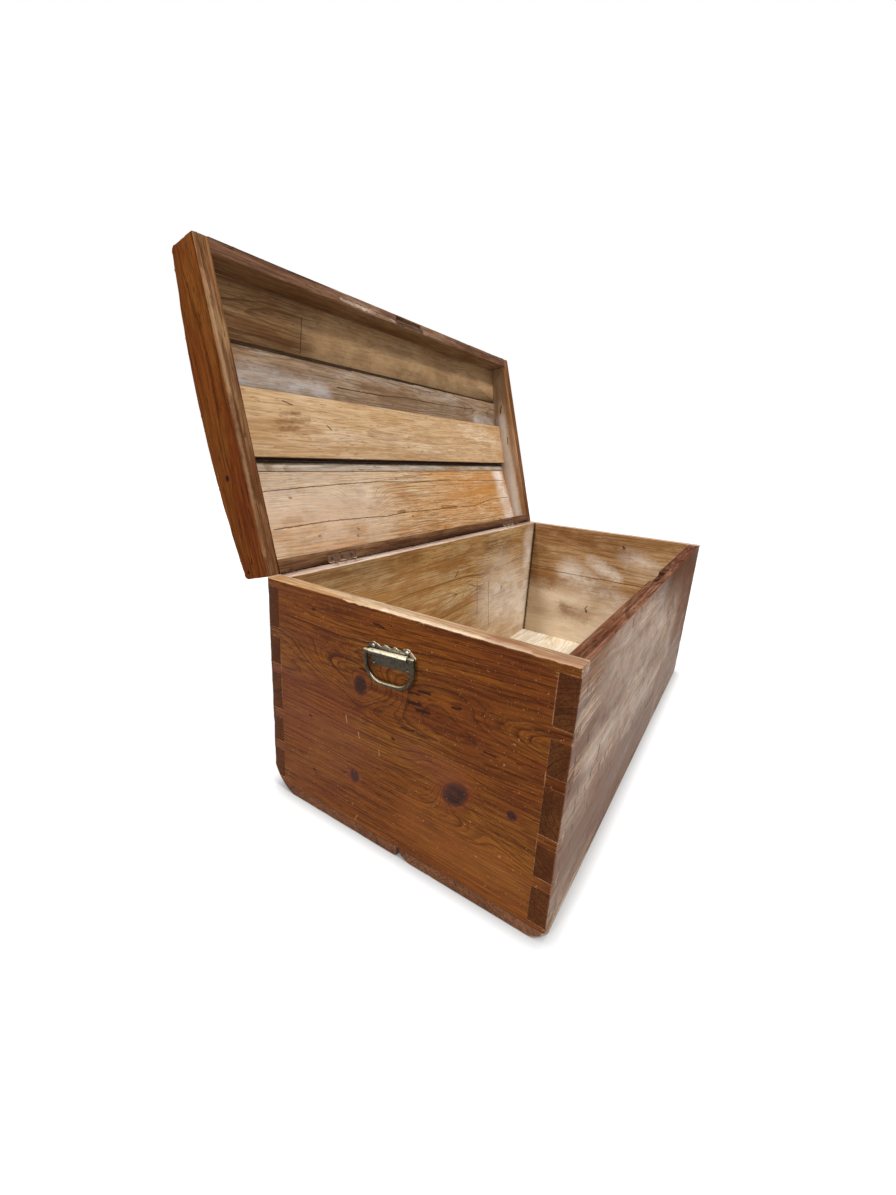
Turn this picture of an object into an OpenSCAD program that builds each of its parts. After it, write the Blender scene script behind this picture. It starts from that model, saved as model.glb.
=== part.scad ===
// Pine blanket chest with through-dovetailed corners, a cambered lid on two butt hinges
// and a pair of drop handles, shown with its lid standing open.
// Millimetres. X runs along the length, the front faces -Y, Z points up.
// The origin is the middle of the underside.

/* [Chest] */
// Outside length of the chest and its lid
box_length = 1016; // [900:4:1150]
// Outside depth from the front face to the back face
box_depth = 508; // [470:2:560]
// Height of the front, back and end boards
side_height = 364; // [320:2:420]
// Thickness of the front, back and end boards
board_t = 25; // [22:0.5:30]
// Thickness of the two bottom boards
bottom_t = 17; // [14:0.5:24]
// Width of the rear bottom board
bottom_rear_w = 270; // [220:1:300]
// Gap that the bottom boards have shrunk apart
bottom_gap = 7; // [2:0.5:10]
// Rounding of the long lower edges
bottom_round = 4; // [2:0.5:8]
// Reach along each edge of the wear at the lower rear corner on the left
worn_rear_left = 46; // [20:1:60]
// Reach of the wear at the other lower corners
worn_corner = 23; // [12:1:45]
// Length of the chip at the left end of the front bottom board, beside the gap
chip_l = 40; // [20:1:80]
// Width of that chip
chip_w = 15; // [8:1:25]
// Height of that chip
chip_h = 9; // [4:0.5:13]
// Width of the lower of the two boards of the right end
end_lower_w = 220; // [150:1:260]

/* [Dovetails] */
// Relative heights of the hand-cut tails, lowest first
tail_shares = [54, 46, 66, 47, 66]; // [10:1:100]
// Width of a pin at the face of the end board
pin_w = 16; // [10:0.5:20]
// Height of the half pin at the lower edge
pin_low_w = 8; // [6:0.5:12]
// Height of the half pin at the rim
pin_top_w = 13; // [8:0.5:18]
// Slope of the tails in degrees
tail_slope = 9; // [6:0.5:12]

/* [Lid] */
// Angle at which the lid stands open
lid_open = 105.5; // [95:0.5:110]
// Gap between the two rims when the lid is shut
lid_gap = 0.6; // [0.5:0.1:1.2]
// Height of the front and rear edges of the lid
lid_edge_h = 56; // [48:0.5:64]
// Rise of the crown above those edges
lid_rise = 23; // [15:0.5:30]
// Radius of the rounded shoulders
shoulder_r = 10; // [6:0.5:12]
// Thickness of the two end boards of the lid
lid_end_t = 25; // [22:0.5:30]
// Thickness of the front and rear rails
rail_t = 23; // [20:0.5:26]
// Thickness of the top boards
top_t = 15; // [12:0.5:18]
// Depth by which the crown board hangs lower than the others
crown_extra = 12; // [6:0.5:16]
// Width of the ledge in the end boards that carries the top boards
ledge_w = 12; // [10:0.5:14]
// Width of the rear top board
rear_top_w = 175; // [150:1:185]
// Width of the narrow filler strip in front of it
strip_w = 20; // [14:0.5:26]
// Open groove between the strip and the crown board
groove_w = 3; // [2:0.5:5]
// Width of the crown board
crown_w = 117; // [100:1:130]
// Width of the middle top board
middle_w = 73; // [60:1:85]
// Gap that the middle and front top boards have shrunk apart
shrink_gap = 4; // [2:0.5:6]

/* [Lock seat] */
// Length of the empty lock seats in both rims
lock_l = 92; // [80:1:110]
// Width of the seat in the chest rim, from its inner face
lock_box_w = 13; // [9:0.5:16]
// Width of the seat in the lid rim
lock_lid_w = 11; // [8:0.5:13]
// Distance of the lid seat from the front face
lock_lid_in = 3; // [2:0.5:5]
// Depth of both seats
lock_deep = 6; // [3:0.5:8]

/* [Hinges] */
// Distance from the end of the chest to the middle of a hinge
hinge_inset = 164; // [140:1:200]
// Length of a leaf
leaf_l = 70; // [64:1:80]
// Width of a leaf from the hinge axis
leaf_w = 16; // [14:0.5:17]
// Thickness of a leaf
leaf_t = 2.2; // [1.8:0.1:2.4]
// Radius of the knuckle
knuckle_r = 2.7; // [2.6:0.1:3.2]
// Radius of the hinge pin
hinge_pin_r = 1.3; // [1:0.1:1.5]
// Number of knuckles, chest and lid together
knuckles = 5; // [3:2:7]
// Radius of the screw heads
hinge_head_r = 3.3; // [3:0.1:3.6]
// Radius of the screw shanks
hinge_shank_r = 1.6; // [1.4:0.1:2]
// Length of the hinge screws
hinge_screw_l = 18; // [14:0.5:24]
// Distance between neighbouring screws
hinge_screw_step = 24; // [22:0.5:26]

/* [Handles] */
// Distance of the handle's barrel below the rim
handle_drop = 58; // [50:1:120]
// Distance of the handle behind the middle of the end
handle_back = 3; // [-20:1:20]
// Tilt of the left handle, its front end up
left_tilt = 4.5; // [0:0.5:6]
// Thickness of the back plate
plate_t = 1.6; // [1.4:0.1:2]
// Half width of the plate at its tips
plate_half_w = 43; // [42:0.5:46]
// Height of the upper edge above the barrel, mean of the scallops
plate_up = 9.7; // [9:0.1:11]
// Height of the scallops from notch to peak
scallop_h = 3.2; // [2:0.1:4]
// Distance from one scallop to the next
scallop_step = 16; // [14:0.5:18]
// Height of the blunt tips
tip_h = 3; // [2:0.5:5]
// Depth of the lower lip below the barrel
plate_down = 20; // [18:0.5:23]
// Distance of the screw holes from the middle of the plate
plate_hole_u = 29; // [28:0.5:31]
// Height of the upper screws above the barrel
upper_hole_w = 6.8; // [6.5:0.1:7.5]
// Drop of the lower holes below the barrel
lower_hole_w = 16.5; // [15:0.5:19]
// Radius of the lobes round the screws
lobe_r = 6; // [5.5:0.1:6.5]
// Radius of the plate's screw holes
plate_hole_r = 1.8; // [1.6:0.1:2]
// Radius of the rolled barrel
barrel_r = 4.2; // [4:0.1:4.6]
// Length of the rolled barrel
barrel_l = 65; // [60:0.5:67]
// Radius of the handle pin
handle_pin_r = 1.8; // [1.5:0.1:2]
// Radius of the bosses at the ends of the bail
boss_r = 3.3; // [3:0.1:3.4]
// Length of a boss
boss_l = 11; // [10:0.5:13]
// Radius of the bail's rod
rod_r = 2.8; // [2.4:0.1:3]
// Drop of the middle of the rod below the pin
bail_drop = 44; // [40:0.5:50]
// Radius of the bail's lower corners, to the middle of the rod
bail_corner_r = 29; // [22:0.5:30]
// Radius of the domed screw heads
dome_r = 3.4; // [3:0.1:3.8]
// Length of the handle screws
handle_screw_l = 16; // [12:0.5:20]

/* [Nails] */
// Radius of the nails
nail_r = 1.5; // [1.2:0.1:2]
// Radius of the nail heads in the bottom
nail_head_r = 3; // [2.5:0.1:4]
// Thickness of those heads
nail_head_t = 1.2; // [1:0.1:2]
// Length of the bottom nails
bottom_nail_l = 50; // [40:1:60]
// Length of the nails in the lid
lid_nail_l = 36; // [30:1:40]
// Depth by which the lid nails are punched below the wood
nail_sink = 0.6; // [0.4:0.1:1]

/* [Hidden] */

// Running clearance of a pin in its bore, on the radius
run_fit = 0.05;
// Clearance between moving knuckles and round their neighbours
knuckle_gap = 0.3;
// Clearance round a hinge leaf in its gain
gain_gap = 0.8;
// Cuts run this far past a face
over = 1;

half_l = box_length / 2;
half_d = box_depth / 2;
rim_z = bottom_t + side_height;
lid_z = rim_z + lid_gap;

// Dovetails: the pins share the height with the tails
pin_count = len(tail_shares) - 1;
share_total = tail_shares * [for (s = tail_shares) 1];
tail_room = side_height - pin_low_w - pin_top_w - pin_count * pin_w;
function shares_below(i) = i < 0 ? 0 : tail_shares[i] + shares_below(i - 1);
function pin_mid(i) = bottom_t + pin_low_w + tail_room * shares_below(i) / share_total + pin_w * (i + 0.5);
pin_flare = board_t * tan(tail_slope);

// Lid: the crown is one arc across the depth
crown_h = lid_edge_h + lid_rise;
crown_r = (half_d * half_d + lid_rise * lid_rise) / (2 * lid_rise);
function arc_h(y) = crown_h - crown_r + sqrt(crown_r * crown_r - y * y);
shoulder_y = half_d - shoulder_r;
shoulder_h = crown_h - crown_r + sqrt(pow(crown_r - shoulder_r, 2) - shoulder_y * shoulder_y);
tangent_y = shoulder_y * crown_r / (crown_r - shoulder_r);

// Edges of the top boards from the rear to the front
strip_y = half_d - rear_top_w;
groove_y = strip_y - strip_w;
crown_y = groove_y - groove_w;
middle_y = crown_y - crown_w;
gap_y = middle_y - middle_w;
front_y = gap_y - shrink_gap;
seam_ys = [half_d, strip_y, groove_y, crown_y, middle_y, gap_y, front_y, -half_d];

// Hinge axis, in the plane of the back faces and level with the middle of the gap
hinge_z = rim_z + lid_gap / 2;
knuckle_l = leaf_l / knuckles;
head_cone = hinge_head_r - hinge_shank_r;

// Handle: the barrel is rolled up from the plate
handle_z = rim_z - handle_drop;
barrel_sunk = 0.4;
barrel_out = plate_t + barrel_r - barrel_sunk;
boss_gap = 0.5;
boss_start = barrel_l / 2 + boss_gap;
boss_mid = boss_start + boss_l - boss_r;
pin_reach = boss_start + boss_l * 0.6;
pilot_r = 1.3;
pilot_deep = 12;
dome_h = 2;
dome_sphere_r = (dome_r * dome_r + dome_h * dome_h) / (2 * dome_h);

// Nail rows
function quarter_points(y0, y1) = [y0 + (y1 - y0) / 4, y1 - (y1 - y0) / 4];
ledge_nail_ys = concat(quarter_points(strip_y, half_d), [(groove_y + strip_y) / 2],
    quarter_points(middle_y, crown_y), quarter_points(gap_y, middle_y),
    quarter_points(-half_d, front_y));
bottom_nail_in = 70;
bottom_nail_n = 7;
end_nail_ys = [-0.36, -0.17, 0.13, 0.36] * box_depth;
rail_nail_in = 95;
rail_nail_n = 6;
end_rail_nail_l = 55;
end_rail_nail_hs = [14, 30];

// An outline drawn in (y, z) and pulled along X from x0
module along_x(x0, length) {
    translate([x0, 0, 0]) rotate([90, 0, 90]) linear_extrude(length) children();
}

// Swings its children from the shut lid to the open one
module lid_pose() {
    translate([0, half_d, hinge_z])
        rotate([-lid_open, 0, 0])
            translate([0, -half_d, -hinge_z])
                children();
}

// Through dovetails

// One row of pins as they stand in a corner, board_t thick along Y from y0, at the left end
module pin_row(y0) {
    translate([-half_l, y0 + board_t, 0]) rotate([90, 0, 0]) linear_extrude(board_t) {
        for (i = [0 : pin_count - 1])
            polygon([
                [0, pin_mid(i) - pin_w / 2],
                [board_t, pin_mid(i) - pin_w / 2 - pin_flare],
                [board_t, pin_mid(i) + pin_w / 2 + pin_flare],
                [0, pin_mid(i) + pin_w / 2]]);
        polygon([[0, bottom_t], [board_t, bottom_t],
            [board_t, bottom_t + pin_low_w + pin_flare], [0, bottom_t + pin_low_w]]);
        polygon([[0, rim_z - pin_top_w], [board_t, rim_z - pin_top_w - pin_flare],
            [board_t, rim_z], [0, rim_z]]);
    }
}

// A long board with the tails at both ends and its outer face at y0 or y0 + board_t
module tail_board(y0) {
    difference() {
        translate([-half_l, y0, bottom_t]) cube([box_length, board_t, side_height]);
        pin_row(y0);
        mirror([1, 0, 0]) pin_row(y0);
        bottom_nail_places() bottom_nail();
        worn_corners();
    }
}

// The left end board with a row of pins at each edge
module pin_board() {
    translate([-half_l, -half_d + board_t, bottom_t])
        cube([board_t, box_depth - 2 * board_t, side_height]);
    pin_row(-half_d);
    pin_row(half_d - board_t);
}

// Nails up through the bottom boards, their heads level with the underside
module bottom_nail() {
    cylinder(r = nail_head_r, h = nail_head_t, $fn = 24);
    cylinder(r = nail_r, h = bottom_nail_l, $fn = 24);
}

module bottom_nail_places() {
    step = (box_length - 2 * bottom_nail_in) / (bottom_nail_n - 1);
    for (side = [-1, 1]) {
        for (i = [0 : bottom_nail_n - 1])
            translate([-half_l + bottom_nail_in + i * step, side * (half_d - board_t / 2), 0]) children();
        for (y = end_nail_ys)
            translate([side * (half_l - board_t / 2), y, 0]) children();
    }
}

// A lower corner knocked round: what a ball that crosses each edge at the reach leaves outside
module ball_corner(reach) {
    middle = 1.5 * reach;
    ball_r = norm([middle - reach, middle, middle]);
    difference() {
        translate([-over, -over, -over]) cube(reach + over);
        translate([middle, middle, middle]) sphere(r = ball_r, $fn = 96);
    }
}

module worn_corners() {
    translate([-half_l, half_d, 0]) mirror([0, 1, 0]) ball_corner(worn_rear_left);
    translate([-half_l, -half_d, 0]) ball_corner(worn_corner);
    for (side = [0, 1])
        mirror([0, side, 0]) translate([half_l, -half_d, 0]) mirror([1, 0, 0]) ball_corner(worn_corner);
}

// Corner of a board cut off along the plane through the three reaches of the chip
module chip_cut() {
    slope = [1 / chip_l, 1 / chip_w, 1 / chip_h];
    block = 2 * chip_l;
    rotate([0, acos(slope[2] / norm(slope)), atan2(slope[1], slope[0])])
        translate([-block / 2, -block / 2, 1 / norm(slope) - block]) cube(block);
}

module bottom_nails() {
    color("dimgray") bottom_nail_places() bottom_nail();
}

// Chest boards

module front_board() {
    color([0.47, 0.30, 0.20]) difference() {
        tail_board(-half_d);
        translate([-lock_l / 2, -half_d + board_t - lock_box_w, rim_z - lock_deep])
            cube([lock_l, lock_box_w + over, lock_deep + over]);
    }
}

module back_board() {
    color([0.50, 0.33, 0.20]) difference() {
        tail_board(half_d - board_t);
        both_hinges() {
            leaf_gain();
            hinge_screw_places() screw_pilot();
        }
    }
}

module left_end_board() {
    color([0.53, 0.28, 0.15]) difference() {
        pin_board();
        bottom_nail_places() bottom_nail();
        worn_corners();
        left_handle_place() plate_pilots();
    }
}

// The right end, which is two boards jointed edge to edge
module right_end_boards() {
    difference() {
        mirror([1, 0, 0]) pin_board();
        bottom_nail_places() bottom_nail();
        worn_corners();
        right_handle_place() plate_pilots();
    }
}

module right_end_lower_board() {
    color([0.53, 0.30, 0.17]) intersection() {
        right_end_boards();
        translate([0, -box_depth, bottom_t]) cube([box_length, 2 * box_depth, end_lower_w]);
    }
}

module right_end_upper_board() {
    color([0.56, 0.33, 0.19]) difference() {
        right_end_boards();
        translate([0, -box_depth, 0]) cube([box_length, 2 * box_depth, bottom_t + end_lower_w]);
    }
}

// Lengthwise bottom boards under the sides, their outer lower edges worn round
module bottom_outline() {
    translate([-half_d + bottom_round, 0]) square([box_depth - 2 * bottom_round, bottom_t]);
    translate([-half_d, bottom_round]) square([box_depth, bottom_t - bottom_round]);
    for (side = [-1, 1])
        translate([side * (half_d - bottom_round), bottom_round]) circle(r = bottom_round, $fn = 48);
}

module bottom_board_front() {
    color([0.60, 0.42, 0.27]) difference() {
        along_x(-half_l, box_length) intersection() {
            bottom_outline();
            translate([-half_d, 0]) square([box_depth - bottom_rear_w - bottom_gap, bottom_t]);
        }
        bottom_nail_places() bottom_nail();
        worn_corners();
        translate([-half_l, half_d - bottom_rear_w - bottom_gap, 0]) mirror([0, 1, 0]) chip_cut();
    }
}

module bottom_board_rear() {
    color([0.62, 0.44, 0.28]) difference() {
        along_x(-half_l, box_length) intersection() {
            bottom_outline();
            translate([half_d - bottom_rear_w, 0]) square([bottom_rear_w, bottom_t]);
        }
        bottom_nail_places() bottom_nail();
        worn_corners();
    }
}

// Lid

// Outline of the lid across its depth: straight edges, rounded shoulders, one crown arc
module lid_outline() {
    difference() {
        intersection() {
            translate([0, crown_h - crown_r]) circle(r = crown_r, $fn = 360);
            translate([-half_d, 0]) square([box_depth, crown_h + over]);
        }
        for (side = [-1, 1])
            difference() {
                translate([side > 0 ? tangent_y : -half_d - over, shoulder_h])
                    square([half_d + over - tangent_y, crown_h]);
                translate([side * shoulder_y, shoulder_h]) circle(r = shoulder_r, $fn = 96);
            }
    }
}

// What lies under the top boards: the boards are flat below and meet at the seams
module under_outline() {
    polygon(concat([[half_d, 0]], [for (y = seam_ys) [y, arc_h(y) - top_t]], [[-half_d, 0]]));
}

// A band of the outline between two depths
module band(y0, y1) {
    intersection() {
        children();
        translate([y0, -over]) square([y1 - y0, crown_h + 3 * over]);
    }
}

module in_lid() {
    lid_pose() translate([0, 0, lid_z]) children();
}

// One top board from depth y0 to y1, lying on the ledges of the two ends
module top_board(y0, y1) {
    difference() {
        along_x(-half_l + lid_end_t - ledge_w, box_length - 2 * (lid_end_t - ledge_w))
            band(y0, y1) difference() {
                lid_outline();
                under_outline();
            }
        lid_nail_places() lid_nail();
    }
}

module lid_rear_top_board() {
    color([0.72, 0.56, 0.38]) in_lid() top_board(strip_y, half_d);
}

module lid_filler_strip() {
    color([0.62, 0.58, 0.52]) in_lid() top_board(groove_y, strip_y);
}

// The thick board at the crown hangs below its neighbours between the two ends
module lid_crown_board() {
    color([0.75, 0.60, 0.40]) in_lid() {
        top_board(middle_y, crown_y);
        along_x(-half_l + lid_end_t, box_length - 2 * lid_end_t) polygon([
            [middle_y, arc_h(middle_y) - top_t - crown_extra],
            [crown_y, arc_h(crown_y) - top_t - crown_extra],
            [crown_y, arc_h(crown_y) - top_t + over],
            [middle_y, arc_h(middle_y) - top_t + over]]);
    }
}

module lid_middle_top_board() {
    color([0.66, 0.56, 0.42]) in_lid() top_board(gap_y, middle_y);
}

module lid_front_top_board() {
    color([0.62, 0.48, 0.34]) in_lid() top_board(-half_d, front_y);
}

// Left end of the lid: full outline outside, a ledge for the top boards inside
module lid_end() {
    difference() {
        union() {
            along_x(-half_l, lid_end_t - ledge_w) lid_outline();
            along_x(-half_l + lid_end_t - ledge_w, ledge_w) under_outline();
        }
        lid_nail_places() lid_nail();
        rail_nail_places() end_rail_nail();
    }
}

module lid_left_end() {
    color([0.55, 0.29, 0.16]) in_lid() lid_end();
}

module lid_right_end() {
    color([0.55, 0.31, 0.18]) in_lid() mirror([1, 0, 0]) lid_end();
}

// A rail between the ends, at the front or at the rear of the lid
module lid_rail(y0) {
    difference() {
        along_x(-half_l + lid_end_t, box_length - 2 * lid_end_t)
            band(y0, y0 + rail_t) under_outline();
        lid_nail_places() lid_nail();
        rail_nail_places() end_rail_nail();
    }
}

module lid_front_rail() {
    color([0.56, 0.38, 0.27]) in_lid() difference() {
        lid_rail(-half_d);
        translate([-lock_l / 2, -half_d + lock_lid_in, -over])
            cube([lock_l, lock_lid_w, lock_deep + over]);
    }
}

module lid_rear_rail() {
    color([0.45, 0.33, 0.25]) difference() {
        in_lid() lid_rail(half_d - rail_t);
        lid_pose() both_hinges() mirror([0, 0, 1]) {
            leaf_gain();
            hinge_screw_places() screw_pilot();
        }
    }
}

// Nails down through the top boards, the place being where the nail meets the crown
module lid_nail() {
    translate([0, 0, -lid_nail_l - nail_sink])
        cylinder(r = nail_r, h = lid_nail_l + nail_sink + over, $fn = 24);
}

module lid_nail_body() {
    translate([0, 0, -lid_nail_l - nail_sink]) cylinder(r = nail_r, h = lid_nail_l, $fn = 24);
}

// Along both rails, and over the ledges at both ends of every top board
module lid_nail_places() {
    step = (box_length - 2 * rail_nail_in) / (rail_nail_n - 1);
    rail_y = half_d - rail_t / 2;
    for (side = [-1, 1]) {
        for (i = [0 : rail_nail_n - 1])
            translate([-half_l + rail_nail_in + i * step, side * rail_y, arc_h(rail_y)]) children();
        for (y = ledge_nail_ys)
            translate([side * (half_l - lid_end_t + ledge_w / 2), y, arc_h(y)]) children();
    }
}

// Nails through the lid ends into the ends of the rails
module rail_nail_places() {
    for (side = [-1, 1], far = [0, 1], h = end_rail_nail_hs)
        mirror([far, 0, 0]) translate([-half_l, side * (half_d - rail_t / 2), h]) children();
}

module end_rail_nail() {
    rotate([0, 90, 0]) cylinder(r = nail_r, h = end_rail_nail_l, $fn = 24);
}

module lid_nails() {
    color("dimgray") in_lid() {
        lid_nail_places() lid_nail_body();
        rail_nail_places() end_rail_nail();
    }
}

// Butt hinges, drawn shut with the axis along X through the origin, leaves towards -Y

module hinge_at(side) {
    translate([side * (half_l - hinge_inset), half_d, hinge_z]) children();
}

module both_hinges() {
    hinge_at(-1) children();
    hinge_at(1) children();
}

// Recess in a rim for the lower leaf, with a cove for the knuckles
module leaf_gain() {
    gain_l = leaf_l + 2 * gain_gap;
    translate([-gain_l / 2, -leaf_w - gain_gap, -lid_gap / 2 - leaf_t])
        cube([gain_l, leaf_w + gain_gap + over, leaf_t + over + lid_gap]);
    translate([-gain_l / 2, 0, 0]) rotate([0, 90, 0])
        cylinder(r = knuckle_r + knuckle_gap, h = gain_l, $fn = 48);
}

module hinge_screw_places() {
    for (i = [-1 : 1])
        translate([i * hinge_screw_step, -leaf_w / 2, -lid_gap / 2]) children();
}

// Countersunk screw with its head level with the leaf
module hinge_screw() {
    translate([0, 0, -head_cone]) cylinder(r1 = hinge_shank_r, r2 = hinge_head_r, h = head_cone, $fn = 32);
    translate([0, 0, -hinge_screw_l]) cylinder(r = hinge_shank_r, h = hinge_screw_l - head_cone / 2, $fn = 32);
}

module screw_pilot() {
    translate([0, 0, -hinge_screw_l]) cylinder(r = hinge_shank_r, h = hinge_screw_l + over, $fn = 32);
}

module screw_sink() {
    translate([0, 0, -head_cone - run_fit])
        cylinder(r1 = hinge_shank_r, r2 = hinge_head_r + run_fit, h = head_cone + run_fit, $fn = 32);
    translate([0, 0, -leaf_t - over]) cylinder(r = hinge_shank_r + run_fit, h = leaf_t + over, $fn = 32);
}

// One leaf: a plate with every second knuckle from the one numbered first, bored to bore_r
module hinge_leaf(first, bore_r) {
    difference() {
        union() {
            translate([-leaf_l / 2, -leaf_w, -lid_gap / 2 - leaf_t])
                cube([leaf_l, leaf_w - knuckle_r - knuckle_gap, leaf_t]);
            for (i = [first : 2 : knuckles - 1])
                translate([-leaf_l / 2 + i * knuckle_l + (i > 0 ? knuckle_gap / 2 : 0), 0, 0]) {
                    width = knuckle_l - (i > 0 ? knuckle_gap / 2 : 0) - (i < knuckles - 1 ? knuckle_gap / 2 : 0);
                    translate([0, -knuckle_r - knuckle_gap - over, -lid_gap / 2 - leaf_t])
                        cube([width, knuckle_r + knuckle_gap + over, leaf_t]);
                    rotate([0, 90, 0]) cylinder(r = knuckle_r, h = width, $fn = 48);
                }
        }
        translate([-leaf_l, 0, 0]) rotate([0, 90, 0])
            cylinder(r = bore_r, h = 2 * leaf_l, $fn = 48);
        hinge_screw_places() screw_sink();
    }
}

module left_hinge_chest_leaf() {
    color([0.72, 0.64, 0.52]) hinge_at(-1) hinge_leaf(0, hinge_pin_r);
}

module right_hinge_chest_leaf() {
    color([0.72, 0.64, 0.52]) hinge_at(1) hinge_leaf(0, hinge_pin_r);
}

module left_hinge_lid_leaf() {
    color([0.40, 0.34, 0.27]) lid_pose() hinge_at(-1) mirror([0, 0, 1]) hinge_leaf(1, hinge_pin_r + run_fit);
}

module right_hinge_lid_leaf() {
    color([0.40, 0.34, 0.27]) lid_pose() hinge_at(1) mirror([0, 0, 1]) hinge_leaf(1, hinge_pin_r + run_fit);
}

module hinge_pin() {
    translate([-leaf_l / 2, 0, 0]) rotate([0, 90, 0]) cylinder(r = hinge_pin_r, h = leaf_l, $fn = 48);
}

module left_hinge_pin() {
    color([0.35, 0.31, 0.26]) hinge_at(-1) hinge_pin();
}

module right_hinge_pin() {
    color([0.35, 0.31, 0.26]) hinge_at(1) hinge_pin();
}

module hinge_chest_screws() {
    color([0.30, 0.27, 0.24]) both_hinges() hinge_screw_places() hinge_screw();
}

module hinge_lid_screws() {
    color([0.30, 0.27, 0.24]) lid_pose() both_hinges() mirror([0, 0, 1]) hinge_screw_places() hinge_screw();
}

// Drop handles, drawn in a frame of their own: x points out of the wood, y along the
// barrel, z up, with the origin on the wood behind the middle of the barrel

module left_handle_place() {
    translate([-half_l, handle_back, handle_z]) rotate([-left_tilt, 0, 0]) mirror([1, 0, 0]) children();
}

module right_handle_place() {
    translate([half_l, handle_back, handle_z]) children();
}

// A cylinder along y
module cylinder_y(r, length) {
    translate([0, length / 2, 0]) rotate([90, 0, 0]) cylinder(r = r, h = length, $fn = 48);
}

// Upper edge with scallops between two lobes, tips beside the barrel, a narrower lower lip
module plate_outline() {
    shelf = upper_hole_w + lobe_r * 0.8;
    polygon(concat(
        [for (u = [-plate_hole_u + lobe_r / 2 : 1 : plate_hole_u - lobe_r / 2])
            [u, plate_up - scallop_h / 2 * cos(360 * u / scallop_step)]],
        [[plate_hole_u, 0], [-plate_hole_u, 0]]));
    for (side = [-1, 1]) {
        translate([side * plate_hole_u, upper_hole_w]) circle(r = lobe_r, $fn = 48);
        translate([side * plate_hole_u, -lower_hole_w]) circle(r = lobe_r, $fn = 48);
        polygon([[side * plate_hole_u, 0], [side * (plate_hole_u + lobe_r * 0.6), shelf],
            [side * plate_half_w, tip_h / 2], [side * plate_half_w, -tip_h / 2],
            [side * (plate_hole_u + lobe_r), -lower_hole_w * 0.6], [side * plate_hole_u, -lower_hole_w]]);
    }
    translate([-plate_hole_u, -plate_down]) square([2 * plate_hole_u, plate_down + tip_h]);
    translate([-plate_hole_u - lobe_r, -lower_hole_w]) square([2 * (plate_hole_u + lobe_r), lower_hole_w]);
}

module plate_holes(r, depth) {
    for (side = [-1, 1], w = [upper_hole_w, -lower_hole_w])
        translate([0, side * plate_hole_u, w]) rotate([0, 90, 0])
            translate([0, 0, -depth]) cylinder(r = r, h = depth + over + plate_t, $fn = 32);
}

// Screw holes in the wood, the lower two left empty
module plate_pilots() {
    for (side = [-1, 1]) {
        translate([-handle_screw_l, side * plate_hole_u, upper_hole_w]) rotate([0, 90, 0])
            cylinder(r = plate_hole_r - run_fit, h = handle_screw_l + over, $fn = 32);
        translate([-pilot_deep, side * plate_hole_u, -lower_hole_w]) rotate([0, 90, 0])
            cylinder(r = pilot_r, h = pilot_deep + over, $fn = 32);
    }
}

// Pressed plate with the barrel rolled up from it
module handle_plate() {
    difference() {
        union() {
            rotate([90, 0, 90]) linear_extrude(plate_t) plate_outline();
            translate([barrel_out, 0, 0]) cylinder_y(barrel_r, barrel_l);
            translate([0, -barrel_l / 2, -barrel_r * 0.6]) cube([barrel_out, barrel_l, barrel_r * 1.2]);
        }
        translate([barrel_out, 0, 0]) cylinder_y(handle_pin_r + run_fit, barrel_l + 2 * over);
        plate_holes(plate_hole_r, over);
    }
}

// Two domed screws in the upper holes
module handle_screws() {
    for (side = [-1, 1])
        translate([0, side * plate_hole_u, upper_hole_w]) rotate([0, 90, 0]) {
            translate([0, 0, -handle_screw_l])
                cylinder(r = plate_hole_r - run_fit, h = handle_screw_l + plate_t + dome_h / 2, $fn = 32);
            translate([0, 0, plate_t]) intersection() {
                cylinder(r = dome_r, h = dome_h, $fn = 48);
                translate([0, 0, dome_h - dome_sphere_r]) sphere(r = dome_sphere_r, $fn = 96);
            }
        }
}

// A quarter bend of the rod about its own centre, in the plane of the bail
module bail_corner(side) {
    translate([0, side * (boss_mid - bail_corner_r), -bail_drop + bail_corner_r]) intersection() {
        rotate([0, 90, 0]) rotate_extrude($fn = 96) translate([bail_corner_r, 0]) circle(r = rod_r, $fn = 48);
        reach = bail_corner_r + 2 * rod_r;
        translate([-reach, side > 0 ? 0 : -reach, -reach]) cube([2 * reach, reach, reach]);
    }
}

// D-shaped bail with a boss at each end, hanging from the pin
module handle_bail() {
    translate([barrel_out, 0, 0]) difference() {
        union() {
            for (side = [-1, 1]) {
                translate([0, side * (boss_start + (boss_l - boss_r) / 2), 0]) cylinder_y(boss_r, boss_l - boss_r);
                translate([0, side * (boss_start + boss_l - boss_r), 0]) sphere(r = boss_r, $fn = 64);
                translate([0, side * boss_mid, -bail_drop + bail_corner_r])
                    cylinder(r = rod_r, h = bail_drop - bail_corner_r, $fn = 48);
                bail_corner(side);
            }
            translate([0, 0, -bail_drop]) cylinder_y(rod_r, 2 * (boss_mid - bail_corner_r));
        }
        cylinder_y(handle_pin_r, 2 * pin_reach);
    }
}

module handle_pin() {
    translate([barrel_out, 0, 0]) cylinder_y(handle_pin_r, 2 * pin_reach);
}

module left_handle_plate() {
    color([0.33, 0.29, 0.20]) left_handle_place() handle_plate();
}

module left_handle_screws() {
    color([0.70, 0.66, 0.58]) left_handle_place() handle_screws();
}

module left_handle_bail() {
    color([0.45, 0.39, 0.27]) left_handle_place() handle_bail();
}

module left_handle_pin() {
    color([0.60, 0.54, 0.42]) left_handle_place() handle_pin();
}

module right_handle_plate() {
    color([0.33, 0.29, 0.20]) right_handle_place() handle_plate();
}

module right_handle_screws() {
    color([0.70, 0.66, 0.58]) right_handle_place() handle_screws();
}

module right_handle_bail() {
    color([0.45, 0.39, 0.27]) right_handle_place() handle_bail();
}

module right_handle_pin() {
    color([0.60, 0.54, 0.42]) right_handle_place() handle_pin();
}

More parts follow.
